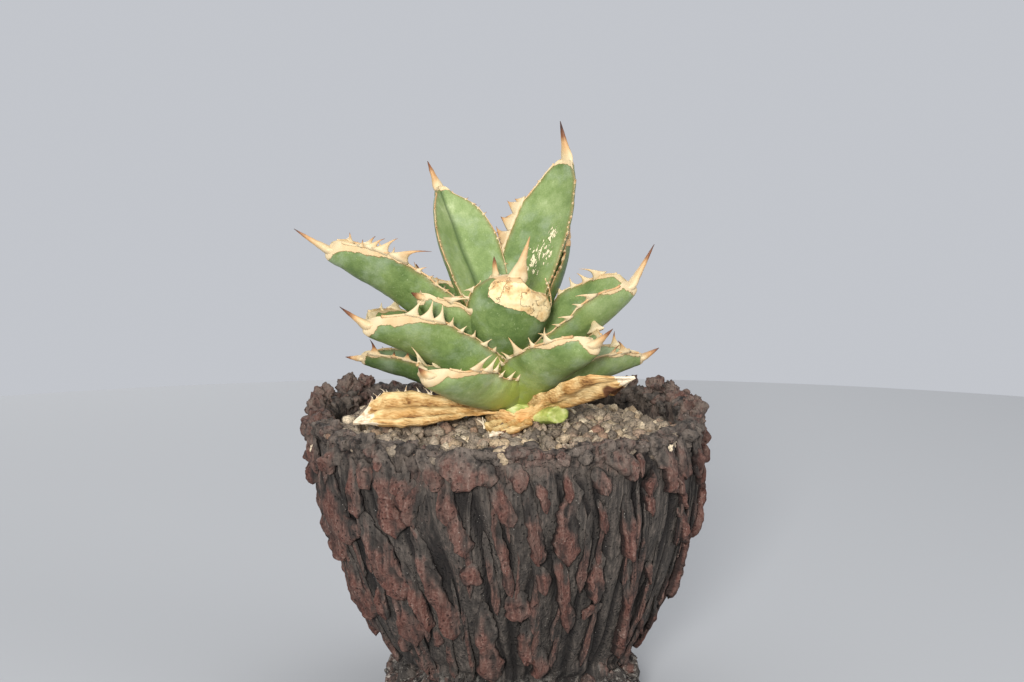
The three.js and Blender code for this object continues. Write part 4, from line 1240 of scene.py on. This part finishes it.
def addRail(form, leaf, rib, teeth, side, seed):
    length = bladeLength(leaf)

    def place(t, angle):
        s = mix(length * hornForm["railFrom"], length + 0.6, t)
        middle, out, up, _ = marginPoint(leaf, rib, teeth, side, s, seed)
        ragged = 1 + 0.45 * rough((s, side, seed), 1.6)
        width = hornForm["railRadius"] * leaf["margins"][side > 0] * ragged
        width *= mix(0.7, 0.9 + 0.25 * leaf["band"], smooth(0.3, 0.95, t))
        if angle is not None:
            middle = middle + out * width * 1.25 * math.cos(angle) + up * width * math.sin(angle)
        return middle + out * 0.1, {"reach": leaf["rim"] + 0.05 + 0.3 * rough((s, side * 5, seed), 3)}

    form.skin(*hornForm["railMesh"], place)


def addTooth(form, leaf, rib, teeth, tooth, seed):
    side, s, size, hook, rise = tooth
    size *= hornForm["toothGrowth"]
    base, out, up, along = marginPoint(leaf, rib, teeth, side, s, seed)
    way = (out + up * rise).normalized()
    ripe = leaf["ripe"] * (1 + 0.3 * rough((s, side, seed), 2))
    twist = 0.35 * rough((s, seed, 0), 1.5)
    rootWidth, rootPower = (plain + more * leaf["plate"] for plain, more in
                            zip(hornForm["toothRoot"], hornForm["plateRoot"]))

    def place(t, angle):
        reach = size * (t - 0.12 * t * t)
        middle = base - way * 0.35 + way * reach + along * size * hook * hornForm["toothHook"] * t ** 1.9
        half = size * (rootWidth * (1 - t) ** rootPower + 0.1 * (1 - t) ** 0.8) + 0.05
        thick = size * 0.06 * (1 - t) + 0.3 * (1 - t) + 0.05
        broad = (along + out * twist * t).normalized()
        flat = way.cross(broad).normalized()
        if angle is not None:
            middle = middle + broad * half * math.cos(angle) + flat * thick * math.sin(angle)
        return middle, {"reach": 0.1 + clamp(t * ripe - 0.12) * 0.95}

    isBig = size > hornForm["bigTooth"]
    form.skin(*hornForm["bigToothMesh" if isBig else "smallToothMesh"], place)


def addSpine(form, leaf, rib, seed):
    length = leaf["length"]
    start = length - hornForm["spineStart"]
    end = length + leaf["spine"]
    edge = halfWidth(leaf, start)
    thick = thickness(leaf, start)
    neck = hornForm["corkNeck"] if leaf["cork"] else min(hornForm["neck"], 0.5 * edge)
    edge = min(edge, hornForm["corkEdge"]) if leaf["cork"] else edge
    widths = [(start, edge * 0.55), (length - 0.4, edge * 0.56), (length + 0.6, edge * 0.42 + 0.5),
              (length + 0.16 * leaf["spine"], neck), (length + 0.4 * leaf["spine"], neck * 0.52),
              (length + 0.7 * leaf["spine"], 0.66), (end, 0.12)]
    thicknesses = [(start, thick * 0.5), (length, min(thick * 0.62, 3.0)),
                   (length + 0.3 * leaf["spine"], 2.1), (length + 0.7 * leaf["spine"], 1.2), (end, 0.2)]

    def place(t, angle):
        s = mix(start, end, t)
        centre, across, up, _ = rib(s)
        fade = 1 - smooth(start, length + 1, s)
        reach = clamp((s - length + 1) / (leaf["spine"] + 1))
        ragged = 1 + 0.1 * rough((s, seed, 0), 1.4)
        if angle is not None:
            u, lift = math.cos(angle), math.sin(angle)
            share = blade["upperShare"] if lift > 0 else 1 - blade["upperShare"]
            share = mix(0.5, share, fade)
            groove = 0.25 * smooth(0.2, 0.5, reach) * max(0.0, lift) ** 4
            rise = channelDepth(leaf, start) * 0.4 * fade * abs(u) ** 2
            tall = lift * share * alongStops(thicknesses, s) * ragged - groove
            centre = centre + across * alongStops(widths, s) * ragged * u + up * (rise + tall)
        base = 0.2 if leaf["cork"] else 0.1
        return centre, {"reach": base + (1 - base) * reach ** 1.3 * leaf["spineRipe"]}

    form.skin(*hornForm["spineMesh"], place)


def makeEdge(leaf, rib, teeth, seed):
    form = Form(f"horn_{leaf['name']}", "reach")
    for side in (-1, 1):
        addRail(form, leaf, rib, teeth, side, seed)
    for tooth in teeth:
        addTooth(form, leaf, rib, teeth, tooth, seed)
    addSpine(form, leaf, rib, seed)
    form.finish(hornSkin, "horny_edge", f"edge_{leaf['name']}")


for number, leaf in enumerate(leaves):
    rib = midrib(leaf)
    teeth = settleTeeth(leaf, number + 40)
    makeBlade(leaf, rib, teeth, number * 6.3)
    makeEdge(leaf, rib, teeth, number * 6.3)
print("leaves made")


def makeStem():
    form = Form("stemCore")
    foot = stem["ground"] - Vector((0, 0, stem["buried"]))
    top = stem["top"]

    def place(t, angle):
        z = mix(foot.z, top.z, t)
        above = clamp((z - stem["ground"].z) / (top.z - stem["ground"].z))
        middle = stem["ground"].lerp(top, above)
        middle.z = z
        if angle is None:
            return middle, {}
        radius = alongStops(stem["radii"], t) * (1 + 0.02 * math.sin(5 * angle + t * 9))
        return middle + Vector((math.cos(angle), math.sin(angle), 0)) * radius, {}

    form.skin(stem["sides"], stem["rings"], place)
    form.finish(youngSkin, "stem_flesh", "stem")


stub = {
    "at": 0.1,  # share of the way up the stem
    "heading": 314,
    "rise": 10,
    "start": 5,  # from the stem's middle, as its length
    "length": 17,
    "width": 10,
    "thick": 5,
    "sides": 28,
    "rings": 26,
}


def makeStub():
    form = Form("cutLeafStub")
    start = stem["ground"].lerp(stem["top"], stub["at"])
    along = direction(stub["rise"], stub["heading"])
    across = heading(stub["heading"] + 90)
    up = along.cross(across)

    def place(t, angle):
        s = mix(stub["start"], stub["length"], min(1.0, t * 1.08))
        middle = start + along * s
        if angle is None:
            return middle - along * (0.8 if t > 0.5 else 0), {}
        inset = 1 if t < 0.93 else mix(1, 0.6, (t - 0.93) / 0.07)
        half = stub["width"] * mix(0.5, 0.42, t) * inset
        ribs = 1 + 0.03 * math.sin(9 * angle) + 0.03 * rough((s * 0.25, angle, 0), 0.8)
        tall = up * stub["thick"] / 2 * inset * math.sin(angle) * ribs
        return middle + across * half * math.cos(angle) * ribs + tall, {}

    form.skin(stub["sides"], stub["rings"], place)
    form.finish(youngSkin, "young_leaf", "cut_leaf_stub")


makeStem()
makeStub()
print("stem made")

dried = {
    "start": 7,  # where the sheet begins, from the stem's middle
    "thick": 0.9,
    "foldHeight": 0.7,
    "bristle": (1.0, 3.4),
    "bristleHook": (-1.4, 1.4),
    "bristleMesh": (6, 6),
    "sides": 60,
    "rings": 110,
}
# "burnt" is where a leaf is charred and how far; "teeth" their side, first and last place, number
driedLeaves = [
    {"name": "left", "at": 0.12, "headings": (210, 201), "rises": (5, -6), "roll": -26, "length": 53,
     "width": 17, "lift": 2.6, "folds": 3, "burnt": None, "teeth": (-1, 0.35, 0.85, 16),
     "widths": [(0, 0.45), (0.3, 0.6), (0.55, 0.95), (0.74, 1), (0.85, 0.6), (0.92, 0.3), (1, 0.03)]},
    {"name": "right", "at": 0.13, "headings": (300, 347), "rises": (8, 26), "roll": -30, "length": 46,
     "width": 16, "lift": 2.2, "folds": 2, "burnt": (0.78, 0.12), "teeth": (1, 0.02, 0.55, 12),
     "widths": [(0, 0.6), (0.3, 0.6), (0.55, 0.95), (0.72, 1), (0.84, 0.62), (0.92, 0.3), (1, 0.03)]},
    {"name": "front", "at": 0.1, "headings": (268, 240), "rises": (-5, 0), "roll": 0, "length": 31,
     "width": 13, "lift": 1.2, "folds": 3, "burnt": (0.9, 0.1), "teeth": (-1, 0.45, 0.8, 7),
     "widths": [(0, 0.7), (0.35, 1), (0.7, 0.9), (0.84, 0.5), (0.92, 0.25), (1, 0.03)]},
]


def driedPoint(leaf, rib, t, across, thick):
    # a point of a dried leaf's crumpled sheet
    s = mix(dried["start"], leaf["length"], t)
    place, side, up, along = rib(s)
    swell = alongStops(leaf["widths"], t)
    fold = dried["foldHeight"] * math.sin(leaf["folds"] * math.pi * across + 5 * t) * swell
    wrinkle = 0.75 * (0.5 - abs(rough((s * 0.2, across * leaf["width"] * 0.5, leaf["length"]), 1.1)))
    wrinkle += 0.6 * rough((s * 0.5, across * 6, 2), 1.8)
    ragged = 1 + 0.1 * rough((s, math.copysign(3, across), leaf["length"]), 2.2) * abs(across) ** 4
    lift = leaf["lift"] * (1 + across ** 2 * swell) + fold + wrinkle * swell + thick
    point = place + side * leaf["width"] * swell / 2 * across * ragged + up * lift
    return point, (side, up, along), fold + wrinkle * 1.6


def makeDried(leaf, seed):
    form = Form(f"dried_{leaf['name']}", "fold", "along", "burnt")
    rib = midrib({**leaf, "spine": 2, "spineHeading": leaf["headings"][1], "spineRise": leaf["rises"][1]})

    def place(t, angle):
        across = 0.0 if angle is None else math.cos(angle)
        face = 0.0 if angle is None else math.copysign(abs(math.sin(angle)) ** 0.5, math.sin(angle))
        point, _, fold = driedPoint(leaf, rib, t, across, face * dried["thick"] / 2)
        burnt = 0.0
        if leaf["burnt"]:
            where, spread = leaf["burnt"]
            burnt = max(0.0, 1 - abs(t - where) / spread) * smooth(-0.9, 0.6, across) * 1.4
        return point, {"fold": fold, "along": t, "burnt": burnt}

    form.skin(dried["sides"], dried["rings"], place)
    side, first, last, count = leaf["teeth"]
    draws = random.Random(seed)
    for _ in range(count):
        t = mix(first, last, draws.random())
        base, (across, up, along), _ = driedPoint(leaf, rib, t, side, 0)
        way = (across * side * 0.7 + up * draws.uniform(0.4, 1.2)).normalized()
        size = draws.uniform(*dried["bristle"]) * draws.random() ** 0.3
        hook = draws.uniform(*dried["bristleHook"])

        def bristle(share, angle):
            middle = base - way * 0.4 + way * size * share + along * hook * size * share ** 2 * 0.6
            if angle is not None:
                half = size * (0.4 * (1 - share) ** 4 + 0.09 * (1 - share)) + 0.05
                middle = middle + along * half * math.cos(angle) + up.cross(along) * 0.16 * math.sin(angle)
            return middle, {"fold": 1.0, "along": 1.0, "burnt": 0.0}

        form.skin(*dried["bristleMesh"], bristle)
    form.finish(straw, "dried_leaf", f"dried_leaf_{leaf['name']}")


sheath = {
    "headings": (192, 340),
    "radius": 9.4,
    "foot": 85.2,
    "height": 5.6,
    "rising": 3.2,  # how much taller it is at the right
    "lean": 0.4,
    "overStub": (0.83, 2.2),  # where it rides over the cut leaf, and how far
    "sides": 40,
    "rings": 90,
}


def makeSheath():
    # the dried leaves' torn bases wrap the front of the stem
    form = Form("driedSheath", "fold", "along", "burnt")

    def place(t, angle):
        out = heading(mix(*sheath["headings"], t))
        swell = math.sin(math.pi * clamp(t, 0.03, 0.97)) ** 0.4
        edge = 0 if angle is None else math.cos(angle)
        wrinkle = 0.9 * (0.5 - abs(rough((t * 9, edge * 3, 3), 1.1)))
        ragged = 1 + 0.3 * rough((t * 30, 0, 0), 3) + 0.12 * rough((t * 30, 0, 4), 1)
        where, lift = sheath["overStub"]
        foot = sheath["foot"] + lift * math.exp(-((t - where) / 0.12) ** 2)
        rising = sheath["rising"] * smooth(0.45, 0.85, t)
        z = foot + (sheath["height"] + rising) * swell * ragged * (edge + 1) / 2 + 0.3 * rising
        radius = sheath["radius"] + wrinkle + sheath["lean"] * (z - foot)
        middle = Vector((stem["ground"].x, stem["ground"].y, z)) + out * radius
        if angle is not None:
            middle += out * math.sin(angle) * 0.5
        return middle, {"fold": wrinkle * 1.5, "along": 0.3, "burnt": 0.0}

    form.skin(sheath["sides"], sheath["rings"], place)
    form.finish(straw, "dried_leaf")


makeSheath()
for number, leaf in enumerate(driedLeaves):
    makeDried(leaf, number + 2)
print("dried leaves made")

studio = {
    # lengths in metres; the floor's far edge is where the photograph's horizon lies
    "floorRadius": 0.66,
    "floorSides": 160,
    "floor": (0.43, 0.436, 0.443),
    "world": (0.905, 0.935, 1.0),
    "worldStrength": 0.6,
    "lights": [  # place, aim, size and power
        ((-0.18, -1.43, 0.46), (0, 0, 0.09), 0.24, 26),
        ((1.2, -0.75, 0.48), (0, 0, 0.09), 0.75, 5),
        ((0.1, 0.05, 1.1), (0, 0.05, 0.1), 0.6, 1.8),
        ((-0.5, 1.2, 0.7), (0, 0, 0.09), 0.6, 6),
    ],
}


def makeFloor():
    shape = bmesh.new()
    bmesh.ops.create_circle(shape, cap_ends=True, segments=studio["floorSides"],
                            radius=studio["floorRadius"])
    mesh = bpy.data.meshes.new("studioFloor")
    shape.to_mesh(mesh)
    shape.free()
    paint = Paint("studioFloor", 0.9, Base_Color=(*studio["floor"], 1), Specular_IOR_Level=0.2)
    mesh.materials.append(paint.material)
    floor = bpy.data.objects.new("studioFloor", mesh)
    bpy.context.scene.collection.objects.link(floor)


def makeStudio():
    makeFloor()
    for i, (place, aim, size, power) in enumerate(studio["lights"]):
        lamp = bpy.data.lights.new(f"softbox{i}", "AREA")
        lamp.size = size
        lamp.energy = power
        light = bpy.data.objects.new(f"softbox{i}", lamp)
        light.location = place
        light.rotation_euler = (Vector(aim) - Vector(place)).to_track_quat("-Z", "Y").to_euler()
        bpy.context.scene.collection.objects.link(light)
    world = bpy.data.worlds.new("studio")
    world.use_nodes = True
    background = world.node_tree.nodes["Background"]
    background.inputs["Color"].default_value = (*studio["world"], 1)
    background.inputs["Strength"].default_value = studio["worldStrength"]
    bpy.context.scene.world = world
    bpy.context.scene.view_settings.view_transform = "Standard"


def makeCamera():
    eye = bpy.data.cameras.new("camera")
    eye.sensor_width = camera["film"]
    eye.lens = camera["film"] * camera["focal"] / (2 * camera["middle"][0])
    view = bpy.data.objects.new("camera", eye)
    view.location = Vector(camera["place"]) * mm
    view.rotation_euler = (math.radians(90 - camera["pitch"]), 0, 0)
    bpy.context.scene.collection.objects.link(view)
    bpy.context.scene.camera = view


makeStudio()
makeCamera()
print("studio made")
